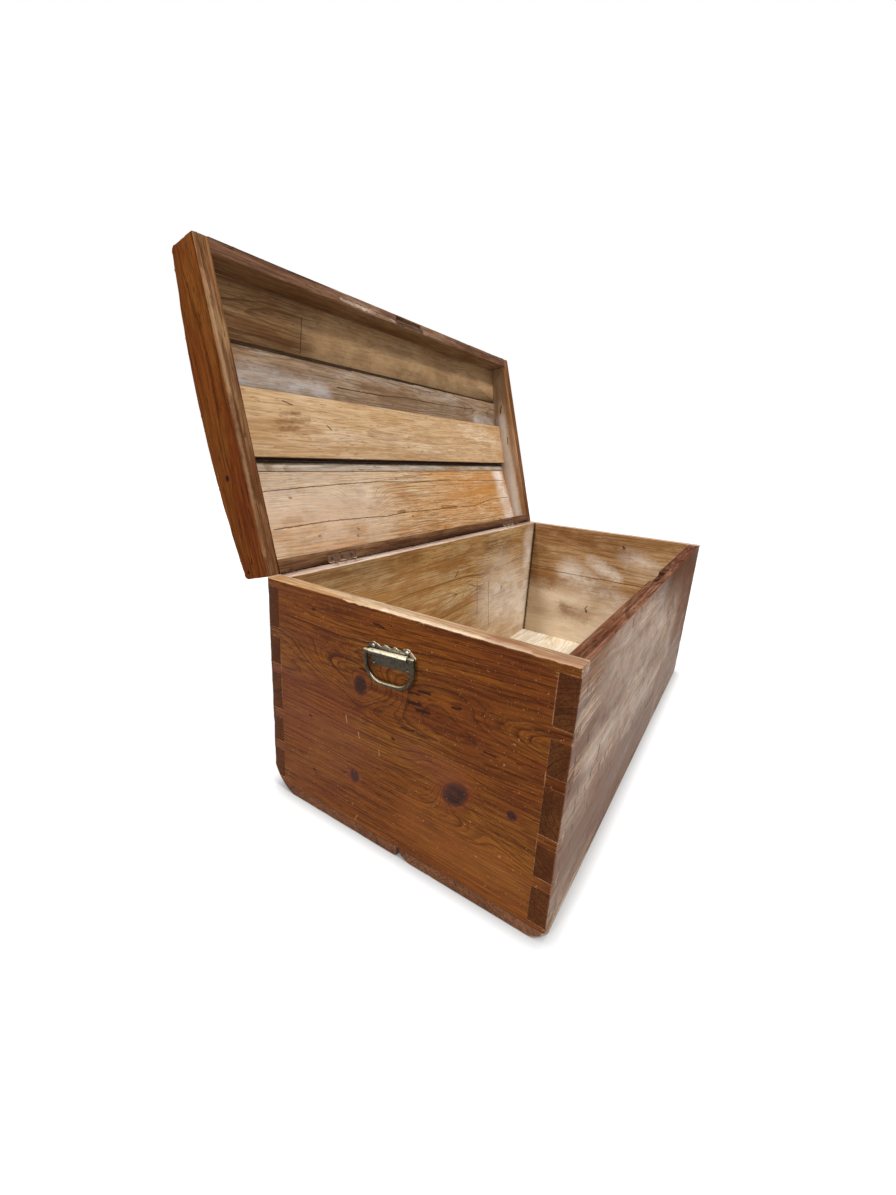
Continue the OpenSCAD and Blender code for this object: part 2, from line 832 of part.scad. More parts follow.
front_board();
back_board();
left_end_board();
right_end_lower_board();
right_end_upper_board();
bottom_board_front();
bottom_board_rear();
bottom_nails();
left_hinge_chest_leaf();
right_hinge_chest_leaf();
left_hinge_pin();
right_hinge_pin();
hinge_chest_screws();
left_hinge_lid_leaf();
right_hinge_lid_leaf();
hinge_lid_screws();
lid_left_end();
lid_right_end();
lid_front_rail();
lid_rear_rail();
lid_rear_top_board();
lid_filler_strip();
lid_crown_board();
lid_middle_top_board();
lid_front_top_board();
lid_nails();
left_handle_plate();
left_handle_screws();
left_handle_bail();
left_handle_pin();
right_handle_plate();
right_handle_screws();
right_handle_bail();
right_handle_pin();
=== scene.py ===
import math
import random

import bmesh
import bpy
import numpy as np
from mathutils import Matrix, Vector, noise


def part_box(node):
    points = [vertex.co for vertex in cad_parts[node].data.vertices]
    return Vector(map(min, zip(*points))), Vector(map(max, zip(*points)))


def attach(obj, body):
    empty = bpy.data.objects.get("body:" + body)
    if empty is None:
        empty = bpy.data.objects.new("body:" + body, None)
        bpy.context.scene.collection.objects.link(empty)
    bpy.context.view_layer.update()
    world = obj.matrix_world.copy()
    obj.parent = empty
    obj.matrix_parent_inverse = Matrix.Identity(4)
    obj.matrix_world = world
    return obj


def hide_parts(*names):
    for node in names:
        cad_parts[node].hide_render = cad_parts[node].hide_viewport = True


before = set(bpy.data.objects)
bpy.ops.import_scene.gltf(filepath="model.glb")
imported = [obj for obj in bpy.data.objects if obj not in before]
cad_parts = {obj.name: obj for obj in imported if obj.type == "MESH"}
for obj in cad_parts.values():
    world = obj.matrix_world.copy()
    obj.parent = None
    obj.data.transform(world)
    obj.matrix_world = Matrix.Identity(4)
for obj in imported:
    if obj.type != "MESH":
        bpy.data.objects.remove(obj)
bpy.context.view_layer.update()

# The photograph's view: a wide lens close to the left front corner, a little above the rim,
# solved from the corners of the chest and of the open lid.
right = Vector((0.5339, -0.84323, 0.06251))
down = Vector((-0.19845, -0.19682, -0.96015))
forward = Vector((0.82194, 0.50021, -0.27241))
lens_at = Vector((-0.98012, -0.37771, 0.59179))


def placed(name, data):
    """An object of a camera, a lamp or a mesh, linked into the scene."""
    made = bpy.data.objects.new(name, data)
    bpy.context.scene.collection.objects.link(made)
    return made


camera = placed("camera", bpy.data.cameras.new("camera"))
bpy.context.scene.camera = camera
turned = Matrix((right, -down, -forward)).transposed().to_4x4()
camera.matrix_world = Matrix.Translation(lens_at) @ turned
camera.data.sensor_fit = "AUTO"
camera.data.sensor_width = 36
image_h, focal_px, middle_px = 1195, 486.24, (454.87, 587.25)
camera.data.lens = focal_px / image_h * camera.data.sensor_width
camera.data.shift_x = (448 - middle_px[0]) / image_h
camera.data.shift_y = (middle_px[1] - 597.5) / image_h
camera.data.clip_start = 0.01


# Node trees are written as sums here: a Dye is one socket of a tree, and every material and the
# tree that makes the fasteners are built from it.
class Dye:
    """A socket of a material or a Geometry Nodes tree. Sums on it add Math nodes, node() adds any other."""

    def __init__(self, tree, socket=None):
        self.tree, self.socket = tree, socket

    def node(self, kind, settings=None, values=None, out=0):
        made = self.tree.nodes.new(kind)
        for key, value in (settings or {}).items():
            if key == "stops":
                while len(made.color_ramp.elements) < len(value):
                    made.color_ramp.elements.new(0.5)
                for stop, (place, shade) in zip(made.color_ramp.elements, value):
                    stop.position, stop.color = place, (shade, shade, shade, 1)
            else:
                setattr(made, key, value)
        for key, value in (values or {}).items():
            if isinstance(value, Dye):
                self.tree.links.new(value.socket, made.inputs[key])
            else:
                made.inputs[key].default_value = value
        return Dye(self.tree, made.outputs[out])

    def sum(self, operation, *values, clamp=False):
        return self.node("ShaderNodeMath", {"operation": operation, "use_clamp": clamp}, dict(enumerate(values)))

    def __add__(self, other):
        return self.sum("ADD", self, other)

    def __sub__(self, other):
        return self.sum("SUBTRACT", self, other)

    def __rsub__(self, other):
        return self.sum("SUBTRACT", other, self)

    def __mul__(self, other):
        return self.sum("MULTIPLY", self, other)

    def __truediv__(self, other):
        return self.sum("DIVIDE", self, other)

    __radd__, __rmul__ = __add__, __mul__

    def vector(self, operation, *values, out=0):
        return self.node("ShaderNodeVectorMath", {"operation": operation}, dict(enumerate((self, *values))), out)

    def step(self, low, high):
        """0 below low, 1 above high, and smooth between. With low above high it falls."""
        turn = low > high
        made = self.node("ShaderNodeMapRange", {"interpolation_type": "SMOOTHSTEP"},
                         {"Value": self, "From Min": min(low, high), "From Max": max(low, high)})
        return 1 - made if turn else made

    def mix(self, under, over):
        """The colour under this mask's zero and over its one."""
        return self.node("ShaderNodeMix", {"data_type": "RGBA"}, {0: self, 6: under, 7: over}, out=2)

    def noise(self, scale, detail=2.0, rough=0.5, out=0):
        """Noise on this vector."""
        return self.node("ShaderNodeTexNoise", {"noise_dimensions": "3D"},
                         {"Vector": self, "Scale": scale, "Detail": detail, "Roughness": rough}, out)


def srgb(red, green, blue):
    """A colour as a picture gives it, 0 to 255, in the linear values that a shader takes."""
    level = [c / 255 for c in (red, green, blue)]
    return tuple(c / 12.92 if c <= 0.04045 else ((c + 0.055) / 1.055) ** 2.4 for c in level) + (1.0,)


def blank(name):
    """A material with nothing but its output, and that output's node."""
    made = bpy.data.materials.new(name)
    made.use_nodes = True
    made.node_tree.nodes.clear()
    return made, made.node_tree.nodes.new("ShaderNodeOutputMaterial")


# A photographer's white sweep and soft lamps: a main lamp above and in front, a weaker one
# behind on the left, and pale walls all round. The floor glows white to the camera, and its
# contact shadow is painted shade: ambient occlusion near the chest darkens that glow.
floor_glow = 0.86
sweep, sweep_out = blank("white_sweep")
sheet = Dye(sweep.node_tree)
rays = [sheet.node("ShaderNodeLightPath", out=i) for i in ("Is Camera Ray", "Is Glossy Ray", "Is Transmission Ray")]
seen = sheet.sum("MAXIMUM", sheet.sum("MAXIMUM", rays[0], rays[1]), rays[2])
# Painted contact shadow: ambient occlusion near the chest darkens the floor's glow
painted_contact_shadow = sheet.node("ShaderNodeAmbientOcclusion", {"samples": 8}, {"Distance": 0.028}, out=1)
lit = sheet.node("ShaderNodeBsdfDiffuse", None, {"Color": seen.mix((0.86, 0.86, 0.86, 1), (0.30, 0.30, 0.30, 1))})
glow = sheet.node("ShaderNodeEmission", None,
                  {"Color": (1, 1, 1, 1), "Strength": seen * floor_glow * sheet.sum("POWER", painted_contact_shadow, 1.5)})
both = sheet.node("ShaderNodeAddShader", None, {0: lit, 1: glow})
sweep.node_tree.links.new(both.socket, sweep_out.inputs["Surface"])

floor_mesh = bpy.data.meshes.new("floor")
reach = 9.0
floor_mesh.from_pydata(
    [(-reach, -reach, 0), (reach, -reach, 0), (reach, reach, 0), (-reach, reach, 0)], [], [(0, 1, 2, 3)])
floor_mesh.transform(Matrix.Translation((0, 0, -0.0004)))
floor_mesh.materials.append(sweep)
floor = placed("floor", floor_mesh)

bpy.context.scene.view_settings.view_transform = "Standard"
world = bpy.data.worlds.new("studio")
bpy.context.scene.world = world
world.use_nodes = True
walls = Dye(world.node_tree)
rays = [walls.node("ShaderNodeLightPath", out=i) for i in ("Is Camera Ray", "Is Glossy Ray", "Is Transmission Ray")]
direct = walls.sum("MAXIMUM", walls.sum("MAXIMUM", rays[0], rays[1]), rays[2])
wall_level = 0.38
world.node_tree.nodes["Background"].inputs["Color"].default_value = (1, 1, 1, 1)
world.node_tree.links.new((direct * (1 - wall_level) + wall_level).socket,
                          world.node_tree.nodes["Background"].inputs["Strength"])

for name, towards, power, spread in (
        ("main_lamp", (-0.10, -0.55, 0.83), 2.3, 7.0), ("side_lamp", (-0.82, 0.14, 0.55), 1.5, 8.0)):
    lamp = placed(name, bpy.data.lights.new(name, "SUN"))
    lamp.data.energy = power
    lamp.data.angle = math.radians(spread)
    lamp.rotation_mode = "QUATERNION"
    lamp.rotation_quaternion = Vector(towards).to_track_quat("Z", "Y")


# Left end board: one wide plain-sawn pine board, stained orange-brown and varnished outside, bare
# inside, with the pins of the dovetails cut in both ends and its upper arris worn ragged.
hinge_at = (0.254, 0.3813)
lid_open = math.radians(105.5)
half_l, half_d, rim_z, lid_gap = 0.508, 0.254, 0.381, 0.0006
lid_edge = 0.034  # The lid's ends are worn along their tops from this far above its rim
on_face, same_point = 2e-5, 2e-6
fold = math.radians(25)  # A sharper edge than this gets eased


def shut_matrix():
    """Turns the open lid back down about the hinge."""
    pin = Vector((0, *hinge_at))
    return Matrix.Translation(pin) @ Matrix.Rotation(lid_open, 4, "X") @ Matrix.Translation(-pin)


def outer_planes(spot, lid):
    """Which outer faces a point lies on, as the inward directions of those faces."""
    inward = []
    if abs(abs(spot.x) - half_l) < on_face:
        inward.append(Vector((-math.copysign(1, spot.x), 0, 0)))
        if lid and spot.z > rim_z + lid_gap + lid_edge:
            inward.append(Vector((0, 0, -1)))
    if abs(abs(spot.y) - half_d) < on_face:
        inward.append(Vector((0, -math.copysign(1, spot.y), 0)))
    if not lid and spot.z < on_face:
        inward.append(Vector((0, 0, 1)))
    if abs(spot.z - (rim_z + lid_gap if lid else rim_z)) < on_face:
        inward.append(Vector((0, 0, 1 if lid else -1)))
    return inward


def hinge_line(edge):
    """The two arrises that meet at the hinges stay tight."""
    return all(v.co.y > half_d - on_face and abs(v.co.z - hinge_at[1]) < 0.001 for v in edge.verts)


def eased(node, name, body, arris=0.0016, joint=0.00045, lid=False, wear=0.0, pace=0.0065, shortest=0.0025):
    """A piece from its CAD solid with every edge eased, and the free arrises worn ragged."""
    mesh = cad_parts[node].data.copy()
    mesh.materials.clear()
    work = bmesh.new()
    work.from_mesh(mesh)
    bmesh.ops.remove_doubles(work, verts=work.verts, dist=same_point)
    bmesh.ops.dissolve_limit(work, angle_limit=math.radians(0.3), verts=work.verts, edges=work.edges)
    back = shut_matrix() if lid else Matrix.Identity(4)
    closing = 0.85  # All but a hair of the gap at the hinges
    bmesh.ops.transform(work, matrix=back, verts=work.verts)
    free = work.edges.layers.int.new("free_arris")
    for edge in work.edges:
        if len(edge.link_faces) == 2 and edge.calc_face_angle(0) > fold:
            ways = [outer_planes(v.co, lid) for v in edge.verts]
            shared = [w for w in ways[0] if w in ways[1]]
            edge[free] = len(shared) > 1 and not hinge_line(edge)
            if hinge_line(edge):
                for vert in edge.verts:
                    vert.co.z += (hinge_at[1] - vert.co.z) * closing
    lowest = [min(v.co[k] for v in work.verts) for k in range(3)]
    highest = [max(v.co[k] for v in work.verts) for k in range(3)]

    def cut(k, at, geometry):
        point, normal = Vector(), Vector()
        point[k], normal[k] = at, 1
        bmesh.ops.bisect_plane(work, geom=geometry, dist=1e-6, plane_co=point, plane_no=normal)

    if wear:
        strip, clear = 0.007, 0.0012  # The worn band along an arris, and the room each cut leaves
        strips = [(k, side * (half - strip)) for k, half in ((0, half_l), (1, half_d)) for side in (-1, 1)]
        strips.append((2, rim_z + lid_gap + strip if lid else rim_z - strip))
        for k, at in strips:
            beside = any(same_point < abs(v.co[k] - at) < clear for v in work.verts)
            if lowest[k] + 0.001 < at < highest[k] - 0.001 and not beside:
                cut(k, at, work.verts[:] + work.edges[:] + work.faces[:])
        for k in range(3):
            count = max(1, round((highest[k] - lowest[k]) / pace))
            for i in range(count):
                at = lowest[k] + (highest[k] - lowest[k]) * (i + 0.5) / count
                crossed = [e for e in work.edges if e[free] and min(v.co[k] for v in e.verts) < at - clear
                           and max(v.co[k] for v in e.verts) > at + clear]
                faces = {f for e in crossed for f in e.link_faces}
                if faces:
                    verts, edges = {v for f in faces for v in f.verts}, {e for f in faces for e in f.edges}
                    cut(k, at, list(verts) + list(edges) + list(faces))
        for vert in {v for e in work.edges if e[free] for v in e.verts}:
            inward = outer_planes(vert.co, lid)
            large, small = noise.noise(vert.co * 28), noise.noise(vert.co * 95)
            chip = max(0.0, large - 0.20) * 2.4 + max(0.0, small) * 0.8 + 0.10
            for i, way in enumerate(inward):
                share = 0.65 + 0.6 * noise.noise(vert.co * 50 + Vector((7 * i, 3, 1)))
                vert.co += way * (wear * chip * share * (1.0 if len(inward) == 2 else 1.7))
    weight = work.edges.layers.float.new("bevel_weight_edge")
    for edge in work.edges:
        if len(edge.link_faces) == 2 and edge.calc_face_angle(0) > fold:
            if edge.calc_length() < shortest or hinge_line(edge):
                edge.smooth = False
            else:
                edge[weight] = 1.0 if edge[free] else joint / arris
    for face in work.faces:
        face.smooth = True
    work.edges.layers.int.remove(free)
    work.to_mesh(mesh)
    work.free()
    piece = placed(name, mesh)
    ease = piece.modifiers.new("ease", "BEVEL")
    ease.width, ease.segments, ease.limit_method = arris, 2, "WEIGHT"
    ease.harden_normals = True
    ease.use_clamp_overlap = False
    bpy.context.view_layer.update()
    piece.data = bpy.data.meshes.new_from_object(piece.evaluated_get(bpy.context.evaluated_depsgraph_get()))
    piece.modifiers.clear()
    for vert in piece.data.vertices:
        vert.co = [min(max(c, a), b) for c, a, b in zip(vert.co, lowest, highest)]
    piece.data.transform(back.inverted())
    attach(piece, body)
    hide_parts(node)
    return piece


plane_of = {"x": "yz", "y": "xz", "z": "xy"}


def mark(way, colour, lines, strength=0.9, soft=0.9, wobble=0.012, cut=0.0, broken=0.0):
    """Marks on the faces that look one way: lines from point to point in their plane, with a width."""
    return dict(way=way, plane=plane_of[way[1]], colour=srgb(*colour), lines=lines, strength=strength, soft=soft,
                wobble=wobble, cut=cut, broken=broken)


def along_points(points, width):
    """The stretches of a bent line, for mark()."""
    return [(*a, *b, width) for a, b in zip(points, points[1:])]


def nearest_line(spot, lines):
    """How far a spot lies from the nearest line, in widths of that line."""
    nearest = None
    for x0, y0, x1, y1, width in lines:
        off = spot.vector("SUBTRACT", (x0, y0, 0))
        length2 = (x1 - x0) ** 2 + (y1 - y0) ** 2
        if length2 > 1e-10:
            share = off.vector("DOT_PRODUCT", ((x1 - x0) / length2, (y1 - y0) / length2, 0), out=1)
            share = spot.sum("ADD", share, 0.0, clamp=True)
            run = spot.node("ShaderNodeVectorMath", {"operation": "SCALE"}, {0: (x1 - x0, y1 - y0, 0), 3: share})
            off = off.vector("SUBTRACT", run)
        far = off.vector("LENGTH", out=1) * (1 / width)
        nearest = far if nearest is None else spot.sum("MINIMUM", nearest, far)
    return nearest


def pine(board, grain, heart, faces, marks=(), ring=0.0062, lean=(0.0, 0.0), swells=(), knots=(), start=0.0,
         sway=1.0, gloss=0.04, lid=False, line=0.75, soil=0.5, polish=None, dashes=None, specks=None):
    """Dresses a board in plain-sawn pine. grain names the axes along, across and through it, heart is where
    the middle of the tree lies across and through, and faces gives a finish for each way a face looks."""
    made, made_out = blank(board.name + "_pine")
    tree = Dye(made.node_tree)
    place = tree.node("ShaderNodeTexCoord", out="Object")
    facing = tree.node("ShaderNodeTexCoord", out="Normal")
    if lid:
        back = shut_matrix()
        turn = {"Rotation": (lid_open, 0, 0)}
        place = tree.node(
            "ShaderNodeMapping", {"vector_type": "POINT"},
            {"Vector": place, "Location": tuple(back.translation), **turn})
        facing = tree.node("ShaderNodeMapping", {"vector_type": "VECTOR"}, {"Vector": facing, **turn})
    at = dict(zip("xyz", (tree.node("ShaderNodeSeparateXYZ", None, {0: place}, out=i) for i in range(3))))
    look = dict(zip("xyz", (tree.node("ShaderNodeSeparateXYZ", None, {0: facing}, out=i) for i in range(3))))
    along, across, through = (at[axis] for axis in grain)

    def stretched(long_way, cross_way, detail=2.0, rough=0.5, out=0):
        """Noise drawn out along the grain, so many to the metre each way."""
        spot = tree.node(
            "ShaderNodeCombineXYZ", None,
            {0: along * long_way + start, 1: across * cross_way, 2: through * cross_way})
        return spot.noise(1.0, detail, rough, out)

    def channels(colour):
        return [tree.node("ShaderNodeSeparateColor", None, {0: colour}, out=i) for i in range(3)]

    def oval(mid_along, mid_across, length, width, tilt):
        """The square of how far a spot lies from an oval's middle, 1 on the oval itself."""
        u = (along - mid_along) * (1 / length)
        v = (across - mid_across - (along - mid_along) * tilt) * (1 / width)
        return u * u + v * v

    # The rings run round the heart of the tree, bent by its growth, and swell out over knots
    wander = channels(stretched(2.6, 5.0, 2.0, 0.5, "Color"))
    bend = 0.034 * sway
    side = across - heart[0] - along * lean[0] + (wander[0] - 0.5) * bend
    deep = through - heart[1] - along * lean[1] + (wander[1] - 0.5) * bend
    radius = tree.sum("SQRT", side * side + deep * deep)
    for *place_of, rise in swells:
        radius = radius + tree.sum("EXPONENT", oval(*place_of) * -1.0) * rise
    cores = []
    for knot in knots:
        cores.append(oval(*knot) + (wander[2] - 0.5) * 0.8)
        radius = radius + tree.sum("EXPONENT", cores[-1] * -0.30) * (1.1 * knot[3])

    # Years counted outwards, with a slow drift. Each ends in a dark line of late wood
    fine = stretched(34.0, 120.0)
    year = radius / ring + (fine - 0.5) * 0.36
    drift = tree.node(
        "ShaderNodeTexNoise", {"noise_dimensions": "1D"}, {"W": year * 0.37 + start, "Scale": 1.0, "Detail": 1.0})
    year = year + (drift - 0.5) * 2.4
    strength = tree.node(
        "ShaderNodeTexNoise", {"noise_dimensions": "1D"},
        {"W": year * 0.83, "Scale": 1.0, "Detail": 0.0}).step(0.30, 0.70)
    season = tree.sum("FRACT", year)
    late = season.step(0.50, 0.92) * season.step(1.0, 0.95) * (strength * 0.7 + 0.3)
    thirds = tree.sum("FRACT", year * 3.0 + (fine - 0.5))

    # Fibres, strands, tinted patches, grime and nicks, from fine to coarse
    fibre = stretched(16.0, 420.0, 3.0, 0.7)
    strand = stretched(10.0, 230.0, 3.0, 0.6)
    patch = channels(stretched(4.5, 17.0, 5.0, 0.62, "Color"))
    grime = stretched(12.0, 20.0, 6.0, 0.68)
    hair = thirds.step(0.45, 0.95) * thirds.step(1.0, 0.94) * patch[2].step(0.40, 0.62)
    nick = stretched(42.0, 300.0, 2.0, 0.6).step(0.60, 0.70)
    lines = tree.sum("MAXIMUM", late, hair * 0.55)
    masks = {}

    def facing_mask(way):
        if way not in masks:
            masks[way] = (look[way[1]] * (-1.0 if way[0] == "-" else 1.0)).step(0.35, 0.62)
        return masks[way]

    colour = rough = None
    for way, (light, dark, warm, cool, dull) in faces:
        ground = patch[0].step(0.42, 0.62).mix(light, warm)
        ground = patch[1].step(0.46, 0.66).mix(ground, cool)
        shade = (lines * line).mix(ground, dark)
        shade = (strand.step(0.52, 0.61) * (0.55 * line)).mix(shade, dark)
        shade = (strand.step(0.46, 0.36) * 0.25).mix(shade, cool)
        shade = (fibre.step(0.46, 0.60) * 0.44).mix(shade, dark)
        shade = (grime.step(0.54, 0.66) * soil).mix(shade, warm)
        shade = (nick * 0.70).mix(shade, dark)
        if way is None:
            colour, rough = shade, (patch[2] - 0.5) * 0.25 + dull
            continue
        mask = facing_mask(way)
        colour = mask.mix(colour, shade)
        rough = rough + mask * (dull - faces[0][1][4])
    for far in cores:
        colour = (far.step(4.2, 1.2) * 0.40).mix(colour, srgb(112, 54, 32))
        rot = far.step(1.1, 0.2) * 0.5 + (fine - 0.5) * 1.1 + (strand - 0.5) * 0.8 + 0.2
        colour = far.step(1.15, 0.80).mix(colour, rot.mix(srgb(80, 46, 32), srgb(34, 24, 24)))
        colour = (far.step(0.75, 1.0) * far.step(1.5, 1.1) * 0.45).mix(colour, srgb(64, 32, 22))
    if dashes:
        spot = tree.node("ShaderNodeCombineXYZ", None, {0: along * 85.0, 1: across * 26.0, 2: 3.0})
        short = spot.noise(1.0, 1.0, 0.5).step(0.61, 0.65) * patch[2].step(0.40, 0.56)
        colour = (short * facing_mask(dashes) * 0.9).mix(colour, srgb(48, 30, 24))
    if specks:
        dust = place.noise(420.0, 1.0).step(0.70, 0.76) + place.noise(150.0, 1.0).step(0.755, 0.79)
        colour = (dust * facing_mask(specks) * 0.45).mix(colour, srgb(186, 134, 92))

    # Marks keep to their lines with a small wobble, and break up where the wood is rough
    jig = place.noise(120.0, 2.0, 0.5, "Color").vector("SUBTRACT", (0.5, 0.5, 0.5))
    gappy = grime.step(0.40, 0.60) * 0.7 + strand.step(0.38, 0.62) * 0.3
    height = lines * 0.35 + fibre * 0.5 - nick * 0.5
    for work in marks:
        spot = tree.node("ShaderNodeCombineXYZ", None, {0: at[work["plane"][0]], 1: at[work["plane"][1]]})
        if work["wobble"]:
            spot = spot.vector("ADD", jig.vector("MULTIPLY", (2 * work["wobble"],) * 2 + (0,)))
        mask = nearest_line(spot, work["lines"]).step(1 + work["soft"], 1 - work["soft"]) * facing_mask(work["way"])
        if work["broken"]:
            mask = mask * (gappy * work["broken"] + (1 - work["broken"]))
        if work["cut"]:
            height = height - mask * work["cut"]
        colour = (mask * work["strength"]).mix(colour, work["colour"])
    bump = tree.node("ShaderNodeBump", None, {"Strength": 0.4, "Distance": 0.0006, "Height": height})
    skin = tree.node("ShaderNodeBsdfPrincipled", None,
                     {"Base Color": colour, "Roughness": rough, "Normal": bump, "Specular IOR Level": gloss})
    if polish:
        way, level, dull_areas = polish
        flat = plane_of[way[1]]
        spot = tree.node("ShaderNodeCombineXYZ", None, {0: at[flat[0]], 1: at[flat[1]]})
        worn_off = strand.step(0.30, 0.60) * 0.5 + patch[0].step(0.30, 0.60) * 0.5
        coat = nearest_line(spot, dull_areas).step(0.6, 1.3) * worn_off * (facing_mask(way) * level)
        shader = skin.socket.node
        made.node_tree.links.new(coat.socket, shader.inputs["Coat Weight"])
        shader.inputs["Coat Roughness"].default_value = 0.32
    made.node_tree.links.new(skin.socket, made_out.inputs["Surface"])
    board.data.materials.append(made)


def finish(light, dark, warm, cool, dull):
    """The wood between the year rings, the rings, the two tints of its patches, and its roughness."""
    return (*(srgb(*colour) for colour in (light, dark, warm, cool)), dull)


varnish = finish((122, 67, 22), (60, 27, 11), (104, 53, 22), (127, 77, 29), 0.50)
bare = finish((205, 165, 108), (126, 84, 44), (168, 120, 68), (214, 186, 142), 0.80)
end_rim = finish((214, 180, 136), (140, 92, 58), (194, 148, 102), (226, 202, 168), 0.80)
tail_end = finish((90, 50, 27), (52, 28, 16), (78, 43, 24), (94, 56, 30), 0.60)
front_skin = finish((142, 106, 78), (70, 43, 30), (116, 80, 54), (180, 154, 130), 0.52)

left_knots = ((0.057, 0.259, 0.0115, 0.0145, 0.0), (0.067, 0.103, 0.0085, 0.0110, 0.0),
              (-0.111, 0.155, 0.0185, 0.0175, -0.35), (-0.193, 0.164, 0.0065, 0.0065, 0.0))
left_swells = ((0.070, 0.272, 0.085, 0.030, 0.10, 0.030), (-0.128, 0.150, 0.075, 0.034, 0.45, 0.034),
               (-0.300, 0.274, 0.150, 0.026, 0.0, 0.034), (0.110, 0.080, 0.060, 0.022, 0.0, 0.014))
left_streaks = [(-0.046, 0.284, -0.063, 0.286, 0.0022), (-0.029, 0.277, -0.046, 0.279, 0.0016),
                (-0.030, 0.262, -0.049, 0.265, 0.0026), (-0.043, 0.256, -0.063, 0.258, 0.0024),
                (-0.148, 0.235, -0.164, 0.235, 0.0015), (-0.098, 0.279, -0.110, 0.281, 0.0018),
                (0.058, 0.286, 0.047, 0.284, 0.0016), (0.034, 0.359, 0.016, 0.357, 0.0016),
                (-0.019, 0.220, -0.040, 0.221, 0.0013), (0.152, 0.352, 0.149, 0.352, 0.0022),
                (0.163, 0.171, 0.161, 0.171, 0.0018), (-0.004, 0.196, -0.006, 0.196, 0.0022),
                (0.231, 0.337, 0.231, 0.331, 0.0020), (0.158, 0.075, 0.153, 0.075, 0.0018)]
left_scratches = [(-0.226, 0.367, -0.251, 0.369, 0.0009), (-0.2284, 0.365, -0.2284, 0.305, 0.0006),
                  (-0.2284, 0.243, -0.2284, 0.222, 0.0006), (-0.2284, 0.158, -0.2284, 0.134, 0.0005),
                  (0.2284, 0.258, 0.2284, 0.232, 0.0006), (0.2284, 0.212, 0.2284, 0.178, 0.0006),
                  (0.226, 0.214, 0.246, 0.216, 0.0006), (0.227, 0.150, 0.247, 0.152, 0.0006),
                  (0.170, 0.343, 0.160, 0.341, 0.0007), (0.066, 0.022, 0.061, 0.033, 0.0009),
                  (-0.236, 0.083, -0.234, 0.079, 0.0010), (-0.188, 0.262, -0.186, 0.262, 0.0010),
                  (0.085, 0.200, 0.083, 0.189, 0.0009), (0.060, 0.182, 0.058, 0.172, 0.0009),
                  (0.020, 0.168, 0.019, 0.158, 0.0008)]
left_end_marks = [
    mark("-x", (112, 62, 50), [(0.20, 0.18, 0.10, 0.16, 0.065), (-0.04, 0.19, -0.10, 0.18, 0.022)], 0.30,
         wobble=0.010, broken=0.4),
    mark("-x", (150, 92, 44), [(-0.06, 0.08, -0.20, 0.06, 0.040)], 0.28, wobble=0.010, broken=0.4),
    mark("-x", (40, 20, 14), left_streaks, soft=0.6, wobble=0.0020, cut=0.6),
    mark("-x", (186, 140, 98), left_scratches, 0.50, 0.6, 0.0010, broken=0.75),
    mark("-x", (216, 182, 140), [(-0.250, 0.3815, 0.090, 0.3815, 0.0022)], soft=0.35, wobble=0.0018, broken=0.5),
    mark("-x", (60, 30, 18), [(-0.250, 0.3765, 0.250, 0.3765, 0.0012)], 0.5, 0.6, 0.0018, broken=0.7),
    # Painted shade: dark spots on the wood behind the two empty lower holes of the handle plate
    mark("-x", (34, 22, 14), [(0.0329, 0.3040, 0.0330, 0.3040, 0.0032), (-0.0257, 0.3081, -0.0258, 0.3081, 0.0030)],
         0.95, 0.3, 0.0004),
    mark("-x", (70, 40, 28), [(-0.254, 0.018, 0.254, 0.018, 0.0012), (0.252, 0.02, 0.252, 0.37, 0.004)], 0.6, 0.5,
         0.0012),
    mark("+z", (240, 224, 200), [(-0.507, -0.190, -0.505, 0.020, 0.0045)], 0.75, 0.5, 0.004, broken=0.5),
    mark("+z", (134, 84, 62), [(-0.496, -0.254, -0.496, -0.150, 0.018)], 0.65, 0.6, 0.004, broken=0.4)]
left_end = eased("left_end_board", "left_end", "chest", wear=0.0006)
pine(left_end, "yzx", (0.262, -0.44),
     [(None, bare), ("-x", varnish), ("+z", end_rim), ("-y", front_skin), ("+y", varnish)], ring=0.0034, line=0.95,
     lean=(0.0, 0.02), specks="-x", swells=left_swells, knots=left_knots, marks=left_end_marks)


